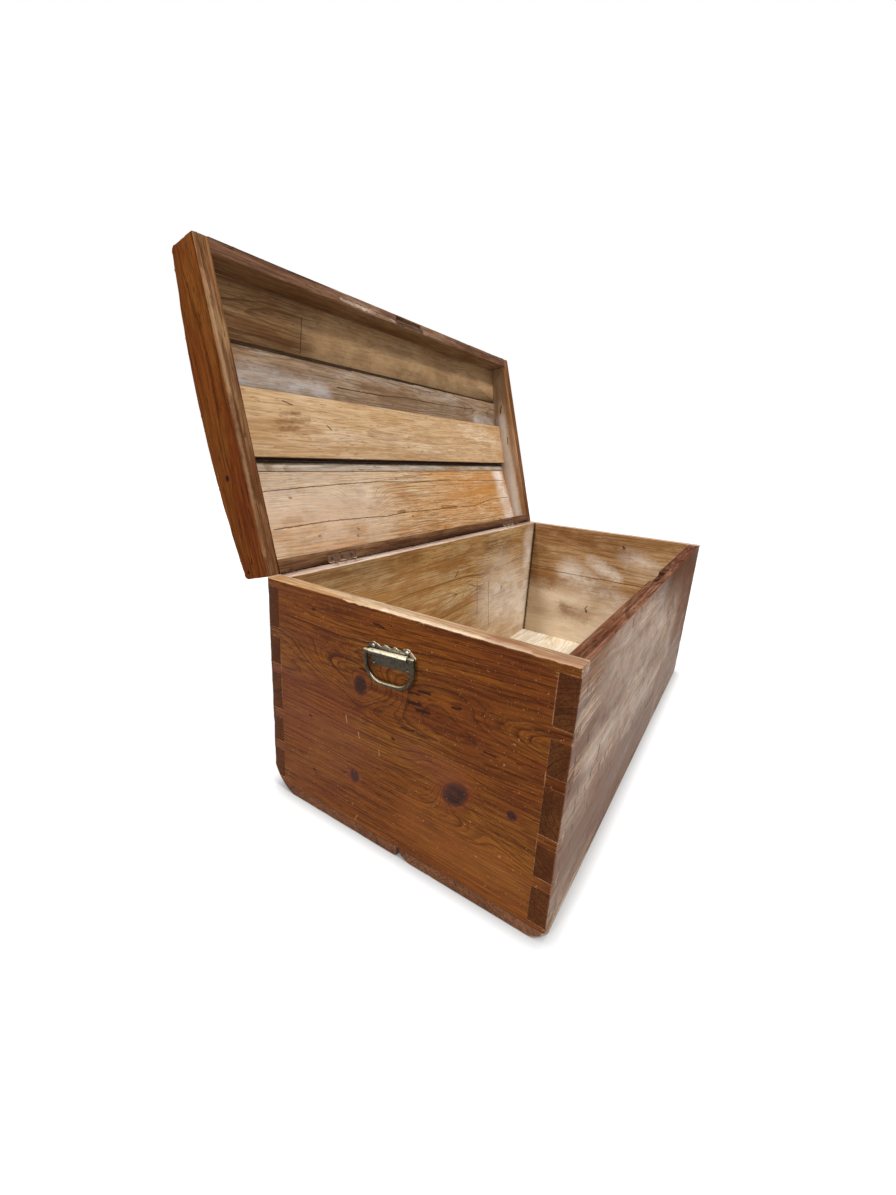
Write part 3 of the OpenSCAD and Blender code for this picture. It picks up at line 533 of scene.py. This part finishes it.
# Front and back boards: tail boards, the front with an empty lock seat in its rim and a duller,
# greyer skin with a painted sheen, the back with two hinge gains and a lime-washed rim.
front_rim = finish((140, 94, 69), (48, 24, 17), (110, 66, 46), (182, 146, 122), 0.75)
washed_rim = finish((226, 204, 184), (160, 120, 98), (206, 176, 154), (236, 220, 206), 0.85)
front_slits = [(0.018, 0.342, 0.018, 0.322, 0.0016), (-0.223, 0.152, -0.227, 0.132, 0.0018),
               (-0.276, 0.374, -0.274, 0.362, 0.0022), (-0.240, 0.066, -0.240, 0.052, 0.0014),
               (-0.490, 0.118, -0.489, 0.106, 0.0013), (0.003, 0.240, 0.003, 0.228, 0.0012),
               (0.169, 0.176, 0.169, 0.168, 0.0016)]
front_marks = [
    mark("-y", (72, 44, 26), [(0.02, 0.40, 0.52, 0.36, 0.060), (0.48, 0.30, 0.52, 0.14, 0.06)], wobble=0.006),
    mark("-y", (98, 64, 42), [(0.26, 0.26, 0.52, 0.20, 0.12), (-0.50, 0.10, 0.10, 0.03, 0.05)], 0.72, wobble=0.006,
         broken=0.3),
    mark("-y", (84, 48, 22), [(0.10, 0.37, 0.52, 0.33, 0.070)], 0.85, broken=0.3),
    mark("-y", (110, 68, 40), [(-0.50, 0.14, -0.16, 0.04, 0.060)], 0.45, broken=0.5),
    # Painted reflection: pale streaks across the middle of the front stand for the sheen of its varnish
    mark("-y", (190, 172, 156), [(-0.34, 0.33, 0.20, 0.25, 0.06), (-0.40, 0.22, 0.05, 0.15, 0.035)], 0.50,
         broken=0.8),
    mark("-y", (50, 30, 24), front_slits, 0.85, 0.5, 0.001, cut=0.5),
    # Painted shade: a dark band in the empty lock seat of the rim
    mark("+z", (36, 24, 18), [(-0.030, -0.2370, 0.082, -0.2370, 0.0055)], 0.85, 0.5, 0.004, broken=0.45)]
front = eased("front_board", "front", "chest", wear=0.0006)
pine(front, "xzy", (0.20, -0.30),
     [(None, bare), ("-y", front_skin), ("+z", front_rim), ("-x", tail_end), ("+x", tail_end)], start=3.0,
     ring=0.0045, dashes="-y", gloss=0.01, polish=("-y", 0.30, [(0.16, 0.34, 0.52, 0.22, 0.130)]),
     marks=front_marks)

back_scars = [(0.129, 0.260, 0.145, 0.150, 0.0010), (0.195, 0.244, 0.219, 0.103, 0.0010),
              (0.028, 0.300, 0.016, 0.288, 0.0022), (0.282, 0.209, 0.282, 0.206, 0.0030)]
back_marks = [
    # Painted shade: a dark line along the rear arris, where the lid's rail closes on the rim at the hinges
    mark("+z", (34, 20, 14), [(-0.508, 0.2538, 0.508, 0.2538, 0.0012)], soft=0.4, wobble=0.0006),
    mark("-y", (92, 56, 28),
         [(-0.48, 0.36, -0.15, 0.37, 0.030), (-0.38, 0.30, -0.30, 0.28, 0.020), (0.18, 0.35, 0.30, 0.33, 0.022)],
         0.60, broken=0.85),
    mark("-y", (200, 142, 74), [(-0.46, 0.27, -0.14, 0.26, 0.09)], 0.45, broken=0.5),
    mark("-y", (236, 226, 212), [(0.26, 0.18, 0.48, 0.12, 0.10), (0.45, 0.10, 0.45, 0.34, 0.030)], 0.85,
         broken=0.62),
    mark("-y", (80, 52, 34), back_scars, 0.75, 0.5, 0.0012, cut=0.3),
    # Painted shade: dark bands down the inside corners where the back meets the ends
    mark("-y", (70, 46, 32), [(0.482, 0.02, 0.482, 0.38, 0.006), (-0.482, 0.02, -0.482, 0.38, 0.008)], 0.6, 0.6,
         0.004)]
back = eased("back_board", "back", "chest", wear=0.0009)
pine(back, "xzy", (0.24, 0.27),
     [(None, bare), ("+y", varnish), ("+z", washed_rim), ("-x", tail_end), ("+x", tail_end)], start=7.0,
     ring=0.0032, sway=1.3, line=0.85, marks=back_marks)


# Right end: two boards edge to edge with an open joint between them, whitewashed in patches inside.
end_inside = finish((194, 158, 114), (126, 88, 54), (168, 126, 80), (206, 174, 134), 0.80)
right_end_marks = [
    mark("-x", (240, 232, 220),
         [(0.095, 0.245, -0.060, 0.165, 0.032), (-0.070, 0.320, -0.150, 0.285, 0.022),
          (0.03, 0.29, -0.05, 0.25, 0.016)],
         0.75, 0.95, 0.010, broken=0.9),
    mark("-x", (240, 226, 202), [(-0.22, 0.05, 0.22, 0.05, 0.080), (0.06, 0.14, 0.22, 0.13, 0.05)], 0.72,
         wobble=0.015, broken=0.35),
    mark("-x", (126, 80, 40),
         [(0.18, 0.36, -0.06, 0.345, 0.036), (-0.18, 0.24, -0.14, 0.17, 0.030), (0.10, 0.12, 0.03, 0.11, 0.02),
          (0.19, 0.30, 0.16, 0.20, 0.022)],
         0.88, broken=0.75),
    mark("-x", (60, 40, 28),
         [(-0.057, 0.347, -0.060, 0.343, 0.003), (0.026, 0.131, 0.024, 0.126, 0.003),
          (0.024, 0.145, 0.030, 0.135, 0.0016)],
         0.85, 0.5, 0.002),
    # Painted shade down the inside corner with the back, and a dark line in the joint between the two boards
    mark("-x", (60, 40, 28), [(0.228, 0.02, 0.228, 0.38, 0.004), (-0.23, 0.237, 0.23, 0.237, 0.0010)], 0.8, 0.5,
         0.003)]
for node, piece, z in (
        ("right_end_lower_board", "right_end_lower", 0.12), ("right_end_upper_board", "right_end_upper", 0.30)):
    board = eased(node, piece, "chest", wear=0.0009)
    pine(board, "yzx", (z, 0.55),
         [(None, end_inside), ("+x", varnish), ("+z", washed_rim), ("-y", front_skin), ("+y", varnish)],
         start=11.0 + 30 * z, marks=right_end_marks)


# Two bottom boards under the sides, run lengthwise and shrunk apart, nailed up into the ends.
floor_face = finish((240, 234, 214), (192, 170, 136), (224, 208, 180), (246, 240, 228), 0.85)
under_end = finish((114, 74, 50), (64, 38, 26), (96, 60, 42), (128, 88, 62), 0.70)
for node, piece, y in (("bottom_board_front", "bottom_front", -0.14), ("bottom_board_rear", "bottom_rear", 0.12)):
    board = eased(node, piece, "chest", arris=0.0012, wear=0.0010)
    pine(board, "xyz", (y, -0.05),
         [(None, bare), ("+z", floor_face), ("-x", under_end), ("+x", under_end), ("-y", front_skin),
          ("+y", varnish)],
         start=17 + 10 * y, ring=0.0045)


# Lid ends: two boards with the camber of the lid along their tops and a ledge for the top boards.
lid_varnish = finish((120, 65, 28), (58, 27, 13), (102, 50, 24), (124, 74, 32), 0.55)
lid_rim = finish((132, 88, 54), (74, 44, 27), (106, 66, 40), (160, 124, 88), 0.75)
lid_end_inside = finish((232, 206, 176), (160, 122, 88), (206, 168, 128), (242, 228, 210), 0.80)
lid_end_marks = {
    "-x": [
        mark("-z", (176, 142, 108), [(-0.504, -0.20, -0.504, 0.22, 0.003)], 0.5, wobble=0.003, broken=1.0),
        mark("-x", (40, 22, 14), [(0.243, 0.427, 0.243, 0.426, 0.0025), (0.230, 0.413, 0.222, 0.411, 0.0012)],
             soft=0.4, wobble=0.0012)],
    "+x": [
        mark("-x", (120, 98, 76), [(-0.22, 0.41, -0.15, 0.41, 0.024)], 0.6, wobble=0.004),
        mark("-x", (246, 240, 234), [(-0.08, 0.420, 0.22, 0.416, 0.014)], soft=0.8, wobble=0.004, broken=0.3),
        mark("-x", (150, 102, 58), [(-0.22, 0.388, 0.02, 0.391, 0.013), (0.02, 0.391, 0.22, 0.386, 0.010)], 0.85,
             0.7, 0.004, broken=0.3),
        mark("-x", (60, 40, 28), [(-0.10, 0.420, -0.12, 0.412, 0.002), (0.0, 0.41, -0.02, 0.408, 0.0016)], 0.8, 0.6,
             0.002)]}
for node, piece, z, way in (("lid_left_end", "lid_left", 0.40, "-x"), ("lid_right_end", "lid_right", 0.41, "+x")):
    board = eased(node, piece, "lid", lid=True, wear=0.0009)
    pine(board, "yzx", (z, 0.55 if way == "+x" else -0.56),
         [(None, lid_end_inside), (way, lid_varnish), ("-z", lid_rim), ("+z", varnish), ("+y", varnish),
          ("-y", varnish)],
         start=23 + 10 * z, lid=True, knots=[(0.092, 0.427, 0.005, 0.005, 0.0)] if way == "-x" else (), sway=0.5,
         line=0.6, gloss=0.0, marks=lid_end_marks[way])


# Lid rails: front and rear, the front with an empty lock seat, the rear with the hinge gains.
rear_rail_rim = finish((130, 92, 63), (70, 44, 30), (108, 74, 52), (166, 128, 94), 0.75)
front_rail_rim = finish((130, 94, 70), (62, 38, 28), (104, 70, 52), (158, 124, 100), 0.75)
# Painted shade: dark lines round the lid's hinge leaves and along the arris where the rail meets the rim
hinge_gap_shade = (-0.508, 0.2538, 0.508, 0.2538, 0.0012)
leaf_gap_shade = []
for side in ("left", "right"):
    x0, x1 = (corner[0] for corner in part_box(f"{side}_hinge_lid_leaf"))
    leaf_gap_shade += along_points([(x0, 0.2535), (x0, 0.238), (x1, 0.238), (x1, 0.2535)], 0.0009)
leaf_and_hinge_gap_shade = [mark("-z", (34, 20, 14), leaf_gap_shade + [hinge_gap_shade], soft=0.5, wobble=0.0006)]
front_chips_and_seat_shade = [
    mark("-z", (212, 190, 170),
         [(-0.215, -0.2390, -0.120, -0.2375, 0.0032), (-0.068, -0.2370, -0.050, -0.2365, 0.002)], 0.85, 0.4, 0.004,
         broken=0.85),
    # Painted shade: a dark band in the empty lock seat of the rail
    mark("-z", (40, 26, 18), [(-0.046, -0.2375, 0.048, -0.2375, 0.0055)], 0.85, 0.5, 0.003, broken=0.3)]
rail_inside = finish((140, 104, 68), (84, 56, 34), (118, 84, 52), (150, 122, 90), 0.80)
for node, piece, way, rim in (
        ("lid_front_rail", "lid_front_strip", "-y", front_rail_rim),
        ("lid_rear_rail", "lid_rear_strip", "+y", rear_rail_rim)):
    board = eased(node, piece, "lid", lid=True, wear=0.0006)
    pine(board, "xzy", (0.41, 0.0), [(None, rail_inside), (way, varnish), ("-z", rim)],
         start=31.0 if way == "-y" else 37.0, lid=True, marks=leaf_and_hinge_gap_shade if way == "+y" else front_chips_and_seat_shade)


# Lid top boards: five boards nailed down on the rails and ledges, each of its own tree, bare and
# stained by age inside, varnished outside.
top_boards = (("lid_rear_top_board", "lid_rear_top", 0.17,
               finish((222, 182, 134), (126, 80, 44), (206, 150, 90), (232, 204, 166), 0.8)),
              ("lid_filler_strip", "lid_strip", 0.07,
               finish((200, 184, 164), (130, 104, 80), (170, 140, 110), (216, 204, 190), 0.8)),
              ("lid_crown_board", "lid_crown", 0.0,
               finish((212, 178, 136), (148, 106, 68), (196, 156, 110), (224, 196, 162), 0.8)),
              ("lid_middle_top_board", "lid_middle_top", -0.1,
               finish((164, 138, 112), (100, 76, 56), (146, 112, 80), (180, 162, 144), 0.8)),
              ("lid_front_top_board", "lid_front_top", -0.19,
               finish((150, 116, 80), (92, 62, 40), (124, 86, 54), (164, 134, 98), 0.8)))
rear_crack_upper = [(-0.440, 0.113), (-0.337, 0.108), (-0.235, 0.104), (-0.137, 0.102), (-0.009, 0.105),
                    (0.149, 0.103), (0.470, 0.110)]
rear_crack_lower = [(-0.440, 0.180), (-0.381, 0.178), (-0.308, 0.176), (-0.220, 0.177), (-0.142, 0.180),
                    (-0.071, 0.176), (0.036, 0.178), (0.162, 0.176), (0.246, 0.181), (0.346, 0.167), (0.470, 0.165)]
rear_dots = [(-0.152, 0.068), (-0.067, 0.066), (-0.073, 0.096), (-0.388, 0.126), (-0.240, 0.198), (-0.246, 0.212),
             (-0.346, 0.201), (-0.049, 0.186)]
middle_crack = [(-0.208, -0.092), (-0.089, -0.092), (-0.060, -0.093), (0.017, -0.098), (0.177, -0.098),
                (0.342, -0.104)]
inside_marks = {
    "lid_rear_top": [
        mark("-z", (240, 226, 208), [(-0.44, 0.14, -0.20, 0.14, 0.09)], 0.5, wobble=0.01, broken=0.6),
        mark("-z", (248, 242, 234), [(0.44, 0.09, 0.45, 0.22, 0.028)], soft=0.7, broken=0.7),
        mark("-z", (196, 132, 62), [(0.16, 0.14, 0.36, 0.13, 0.07)], 0.60, wobble=0.01, broken=0.5),
        mark("-z", (96, 60, 34), [(x, y, x + 0.003, y + 0.001, 0.0022) for x, y in rear_dots], 0.6, 0.6, 0.002),
        mark("-z", (86, 54, 34), along_points(rear_crack_upper, 0.0009) + along_points(rear_crack_lower, 0.0010),
             0.85, 0.5, 0.0015, cut=1.0)],
    "lid_middle_top": [
        # Painted shade: a black line in the open gap between the middle and front boards, widest at the left
        mark("-z", (34, 22, 14),
             [(-0.44, -0.1330, -0.16, -0.1332, 0.0026), (-0.16, -0.1335, 0.06, -0.1336, 0.0014)], soft=0.5,
             wobble=0.001),
        mark("-z", (50, 34, 24), along_points(middle_crack, 0.0011), soft=0.5, wobble=0.0015, cut=1.0),
        mark("-z", (116, 86, 60), [(-0.06, -0.088, 0.30, -0.090, 0.020)], 0.55, wobble=0.008, broken=0.5),
        # Pale grey streaks: partly a painted sheen on the bare board, partly a whitish wash
        mark("-z", (206, 202, 200), [(-0.44, -0.080, -0.25, -0.072, 0.020), (0.36, -0.070, 0.45, -0.075, 0.014)],
             0.6, wobble=0.008, broken=0.8)],
    "lid_strip": [
        # Painted shade: a dark line under the crown board's rear edge, where its thicker step overhangs the strip
        mark("-z", (52, 32, 18), [(-0.49, 0.0610, 0.49, 0.0610, 0.0022)], soft=0.5, wobble=0.001),
        mark("-z", (90, 58, 34), [(-0.49, 0.0785, 0.49, 0.0785, 0.0010)], 0.7, 0.5, 0.001)],
    "lid_crown": [
        # Painted shade: the same dark line along the crown board's rear edge
        mark("-z", (84, 52, 28), [(-0.49, 0.0565, 0.49, 0.0565, 0.0020)], 0.7, 0.6, 0.001),
        mark("-z", (120, 76, 36),
             [(-0.385, -0.006, -0.310, -0.016, 0.005), (-0.375, -0.020, -0.330, -0.026, 0.004),
              (-0.380, 0.006, -0.340, 0.002, 0.004)],
             0.8, 0.7, 0.005, broken=0.6),
        mark("-z", (60, 40, 24),
             [(-0.267, -0.009, -0.257, -0.001, 0.0012), (-0.364, -0.045, -0.343, -0.040, 0.0012)], 0.8, 0.5,
             0.0012)],
    "lid_front_top": [
        mark("-z", (206, 170, 126), [(-0.22, -0.165, 0.46, -0.165, 0.045)], 0.75, wobble=0.01, broken=0.6),
        # Painted shade: the same black line in the gap, on the front board's side
        mark("-z", (34, 22, 14), [(-0.44, -0.1345, -0.04, -0.1345, 0.0016)], soft=0.5, wobble=0.001),
        mark("-z", (56, 36, 22), [(-0.281, -0.206, -0.294, -0.141, 0.0010)], 0.8, 0.5, 0.0012, cut=0.4)]}
# Board sides inside the lid: grime down in the joints, and painted shade on the crown board's exposed step face
side_grime_and_shade = finish((72, 44, 27), (42, 25, 16), (58, 36, 22), (88, 58, 38), 0.8)
outer_edges = {"lid_rear_top": [("+y", varnish)], "lid_front_top": [("-y", varnish)]}
rear_swells = [(-0.20, 0.140, 0.07, 0.030, 0.0, 0.03), (0.210, 0.145, 0.05, 0.030, 0.3, 0.03)]
for node, piece, y, inside in top_boards:
    calm = piece == "lid_crown"
    board = eased(node, piece, "lid", lid=True, arris=0.0012)
    edges = outer_edges.get(piece, [("+y", side_grime_and_shade), ("-y", side_grime_and_shade)])
    pine(board, "xyz", (y, 0.40), [(None, inside), ("+z", varnish)] + edges, start=40 + 60 * y, lid=True,
         marks=inside_marks.get(piece, ()), line=0.40 if calm else 0.80, ring=0.0042, soil=0.25 if calm else 0.5,
         swells=rear_swells if piece == "lid_rear_top" else ())


# Hinges: two butt hinges of thin rolled steel, a leaf let into the back board and one into the rear
# rail, turning on a pin. Those on the lid have gone brown, those on the chest are under limewash.
def metal(name, ground, spots, worn_and_highlit, metallic, dull, wear_and_highlight_way=(-0.35, 0.0, 0.94), wear_and_highlight_from=0.45, grain=420.0,
          gloss=0.5):
    """Old metal: a ground colour with darker spots, and a paler colour where it faces one way, for limewash on some
    pieces and a painted highlight with rubbing on the others.
    """
    ground, spots, worn_and_highlit = (srgb(*colour) for colour in (ground, spots, worn_and_highlit))
    made, made_out = blank(name)
    tree = Dye(made.node_tree)
    place = tree.node("ShaderNodeTexCoord", out="Object")
    facing = tree.node("ShaderNodeTexCoord", out="Normal")
    cloud = place.noise(grain, 4.0, 0.65)
    speck = place.noise(grain * 4, 2.0, 0.6)
    colour = cloud.step(0.42, 0.60).mix(ground, spots)
    colour = (speck.step(0.58, 0.70) * 0.6).mix(colour, spots)
    # Painted highlight with some rubbing: paler where the surface faces the given way, patchy through the cloud
    # noise
    wear_and_highlight_mask = facing.vector("DOT_PRODUCT", wear_and_highlight_way, out=1).step(wear_and_highlight_from, wear_and_highlight_from + 0.35)
    wear_and_highlight_mask = wear_and_highlight_mask * cloud.step(0.74, 0.50)
    colour = wear_and_highlight_mask.mix(colour, worn_and_highlit)
    bump = tree.node("ShaderNodeBump", None, {"Strength": 0.3, "Distance": 0.0002, "Height": cloud + speck * 0.4})
    rough = (cloud - 0.5) * 0.3 + dull
    skin = tree.node(
        "ShaderNodeBsdfPrincipled", None,
        {"Base Color": colour, "Metallic": metallic, "Roughness": rough, "Normal": bump,
         "Specular IOR Level": gloss})
    made.node_tree.links.new(skin.socket, made_out.inputs["Surface"])
    return made


def hardware(node, body, skins, arris=0.0003, sharp=32):
    """A metal piece from its CAD solid, smooth on its curves, with its edges rubbed round."""
    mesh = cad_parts[node].data.copy()
    mesh.materials.clear()
    work = bmesh.new()
    work.from_mesh(mesh)
    bmesh.ops.remove_doubles(work, verts=work.verts, dist=same_point)
    bmesh.ops.dissolve_limit(work, angle_limit=math.radians(0.05), verts=work.verts, edges=work.edges)
    weight = work.edges.layers.float.new("bevel_weight_edge")
    for edge in work.edges:
        if len(edge.link_faces) == 2 and edge.calc_face_angle(0) > math.radians(sharp):
            edge[weight] = 1.0
    for face in work.faces:
        face.smooth = True
    work.to_mesh(mesh)
    work.free()
    for skin in skins:
        mesh.materials.append(skin)
    piece = placed(node + "_metal", mesh)
    rub = piece.modifiers.new("rub", "BEVEL")
    rub.width, rub.segments, rub.limit_method = arris, 2, "WEIGHT"
    rub.harden_normals = True
    rub.material = len(skins) - 1
    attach(piece, body)
    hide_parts(node)


rusted = metal("rusted_leaf", (106, 76, 58), (64, 42, 32), (112, 84, 66), 0.0, 0.80, (0, -0.96, 0.27), 0.3, 160.0,
               gloss=0.05)
limed = metal("limed_leaf", (98, 72, 56), (60, 40, 30), (184, 158, 138), 0.0, 0.80, (0, 0, 1), 0.55, 160.0,
              gloss=0.05)
for side in ("left", "right"):
    hardware(f"{side}_hinge_chest_leaf", "chest", (limed,))
    hardware(f"{side}_hinge_lid_leaf", "lid", (rusted,))
    hardware(f"{side}_hinge_pin", "chest", (rusted,), arris=0.0002)


# Handles: a scalloped brass plate rolled into a barrel, a bail with a boss at each end, and the pin
# through them. The brass has gone olive brown, and where it faces up and out it is painted bright: a painted
# highlight that also stands for rubbing.
old_brass = metal("old_brass", (58, 48, 29), (34, 27, 16), (240, 228, 196), 0.45, 0.50, wear_and_highlight_from=0.40, grain=260.0)
dark_brass = metal("dark_brass", (64, 55, 35), (40, 33, 20), (206, 192, 156), 0.65, 0.40, wear_and_highlight_from=0.66,
                   grain=260.0)
rubbed_brass = metal("rubbed_brass", (190, 170, 128), (110, 94, 64), (228, 214, 180), 0.75, 0.36)
for side in ("left", "right"):
    hardware(f"{side}_handle_plate", "chest", (old_brass, rubbed_brass))
    hardware(f"{side}_handle_bail", f"{side}_bail", (dark_brass,))
    hardware(f"{side}_handle_pin", f"{side}_bail", (old_brass,), arris=0.0002)


# Screws and nails: steel wood screws in the hinges, domed ones in the handles, and wire nails that
# hold the bottom, the ends and the boards of the lid.
def fasteners(node, body, skin, shape, sizes, middle=None):
    """Every screw or nail of a node, each on the line of its CAD solid, made by one node tree."""
    solid = bmesh.new()
    solid.from_mesh(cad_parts[node].data)
    bmesh.ops.remove_doubles(solid, verts=solid.verts, dist=same_point)
    heads, turns, lengths, reached = [], [], [], set()
    for first in solid.verts:
        if first in reached:
            continue
        reached.add(first)
        island = [first]
        for vert in island:  # It grows while it is walked, until it holds the whole screw or nail
            for other in (e.other_vert(vert) for e in vert.link_edges):
                if other not in reached:
                    reached.add(other)
                    island.append(other)
        points = np.array([v.co for v in island])
        line = np.linalg.svd(points - points.mean(axis=0))[2][0]
        run = (points - points.mean(axis=0)) @ line
        top, foot = (points[tip].mean(axis=0) for tip in (run > run.max() - 1e-4, run < run.min() + 1e-4))
        if shape == "nail":  # Its head is farther from the middle of what it holds
            swapped = np.linalg.norm(top - middle) < np.linalg.norm(foot - middle)
        else:  # A screw's head is its wider end
            widths = [np.ptp(points[tip], axis=0).max() for tip in (run > run.max() - 1e-3, run < run.min() + 1e-3)]
            swapped = widths[0] < widths[1]
        if swapped:
            top, foot = foot, top
        heads.append(tuple(top))
        spin = Matrix.Rotation(chance.uniform(0, math.tau), 4, "Z")
        turns.append(Vector(top - foot).to_track_quat("Z", "Y").to_matrix().to_4x4() @ spin)
        lengths.append(float(np.linalg.norm(top - foot)))
    solid.free()
    mesh = bpy.data.meshes.new(node)
    mesh.from_pydata(heads, [], [])
    turn = mesh.attributes.new("turn", "FLOAT_VECTOR", "POINT")
    turn.data.foreach_set("vector", [angle for matrix in turns for angle in matrix.to_euler()])
    length = mesh.attributes.new("length", "FLOAT", "POINT")
    length.data.foreach_set("value", lengths)

    tree = bpy.data.node_groups.new(f"{shape}_tree", "GeometryNodeTree")
    tree.interface.new_socket("Points", in_out="INPUT", socket_type="NodeSocketGeometry")
    named = {}
    for size_name in sizes:
        named[size_name] = tree.interface.new_socket(
            size_name, in_out="INPUT", socket_type="NodeSocketFloat").identifier
    tree.interface.new_socket("Fasteners", in_out="OUTPUT", socket_type="NodeSocketGeometry")
    build = Dye(tree)
    given = [build.node("NodeGroupInput", out=i) for i in range(len(sizes) + 1)]
    points, size = given[0], dict(zip(sizes, given[1:]))
    turned = build.node("FunctionNodeEulerToRotation", None, {
        0: build.node("GeometryNodeInputNamedAttribute", {"data_type": "FLOAT_VECTOR"}, {"Name": "turn"})})
    long = build.node("GeometryNodeInputNamedAttribute", {"data_type": "FLOAT"}, {"Name": "length"})
    stretch = build.node("ShaderNodeCombineXYZ", None, {0: 1.0, 1: 1.0, 2: long})

    def moved(form, up, scale=None):
        spot = build.node("ShaderNodeCombineXYZ", None, {2: up})
        values = {"Geometry": form, "Translation": spot}
        if scale is not None:
            values["Scale"] = scale
        return build.node("GeometryNodeTransform", None, values)

    shank = build.node(
        "GeometryNodeMeshCylinder", None, {"Vertices": 8, "Radius": size["Shank radius"], "Depth": 0.96})
    shank = build.node("GeometryNodeTransform", None, {"Geometry": shank, "Translation": (0, 0, -0.52)})
    shank = build.node(
        "GeometryNodeInstanceOnPoints", None,
        {"Points": points, "Instance": shank, "Rotation": turned, "Scale": stretch})
    if shape == "domed":
        flat = build.node(
            "ShaderNodeCombineXYZ", None, {0: 1.0, 1: 1.0, 2: size["Head height"] / size["Head radius"]})
        head = build.node(
            "GeometryNodeMeshUVSphere", None, {"Segments": 20, "Rings": 12, "Radius": size["Head radius"]})
        head = moved(head, size["Head height"] * -1.0, flat)
    else:
        head = build.node(
            "GeometryNodeMeshCone", None,
            {"Vertices": 20 if shape == "sunk" else 10, "Radius Top": size["Head radius"],
             "Radius Bottom": size["Shank radius"], "Depth": size["Head height"]})
        head = moved(head, size["Head height"] * -1.0)
    if "Slot width" in sizes:
        bar = build.node(
            "ShaderNodeCombineXYZ", None,
            {0: size["Head radius"] * 2.6, 1: size["Slot width"], 2: size["Slot width"] * 2.0})
        slot_cut = build.node("GeometryNodeMeshCube", None, {"Size": bar})
        head = build.node(
            "GeometryNodeMeshBoolean", {"operation": "DIFFERENCE"}, {"Mesh 1": head, "Mesh 2": slot_cut})
    head = build.node(
        "GeometryNodeInstanceOnPoints", None, {"Points": points, "Instance": head, "Rotation": turned})
    joined = build.node("GeometryNodeJoinGeometry")
    for part in (shank, head):
        tree.links.new(part.socket, joined.socket.node.inputs[0])
    real = build.node("GeometryNodeRealizeInstances", None, {0: joined})
    done = build.node("GeometryNodeSetMaterial", None, {"Geometry": real, "Material": skin})
    out = tree.nodes.new("NodeGroupOutput")
    tree.links.new(done.socket, out.inputs[0])

    seed = placed(node + "_points", mesh)
    driven = seed.modifiers.new("fasteners", "NODES")
    driven.node_group = tree
    for size_name, value in sizes.items():
        driven[named[size_name]] = value
    bpy.context.view_layer.update()
    finished = bpy.data.meshes.new_from_object(seed.evaluated_get(bpy.context.evaluated_depsgraph_get()))
    bpy.data.objects.remove(seed)
    finished.name = node + "_made"
    piece = placed(node + "_made", finished)
    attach(piece, body)
    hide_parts(node)


chance = random.Random(7)
steel = metal("screw_steel", (88, 66, 52), (48, 34, 26), (104, 82, 66), 0.2, 0.65, gloss=0.2)
bright = metal("bright_screw", (128, 114, 90), (74, 62, 46), (222, 212, 190), 0.75, 0.32, wear_and_highlight_from=0.45)
iron = metal("nail_iron", (64, 52, 44), (36, 28, 24), (84, 72, 62), 0.5, 0.60)
sunk = {"Head radius": 0.0033, "Head height": 0.0017, "Shank radius": 0.0015, "Slot width": 0.0007}
domed = {"Head radius": 0.0034, "Head height": 0.0020, "Shank radius": 0.0014, "Slot width": 0.0007}
wire = {"Head radius": 0.0015, "Head height": 0.0008, "Shank radius": 0.0012}
fasteners("hinge_chest_screws", "chest", steel, "sunk", sunk)
fasteners("hinge_lid_screws", "lid", steel, "sunk", sunk)
fasteners("left_handle_screws", "chest", bright, "domed", domed)
fasteners("right_handle_screws", "chest", bright, "domed", domed)
fasteners("bottom_nails", "chest", iron, "nail", wire, (0, 0, 0.25))
crown_low, crown_high = (Vector(c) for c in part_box("lid_crown_board"))
fasteners("lid_nails", "lid", iron, "nail", wire, tuple((crown_low + crown_high) / 2))
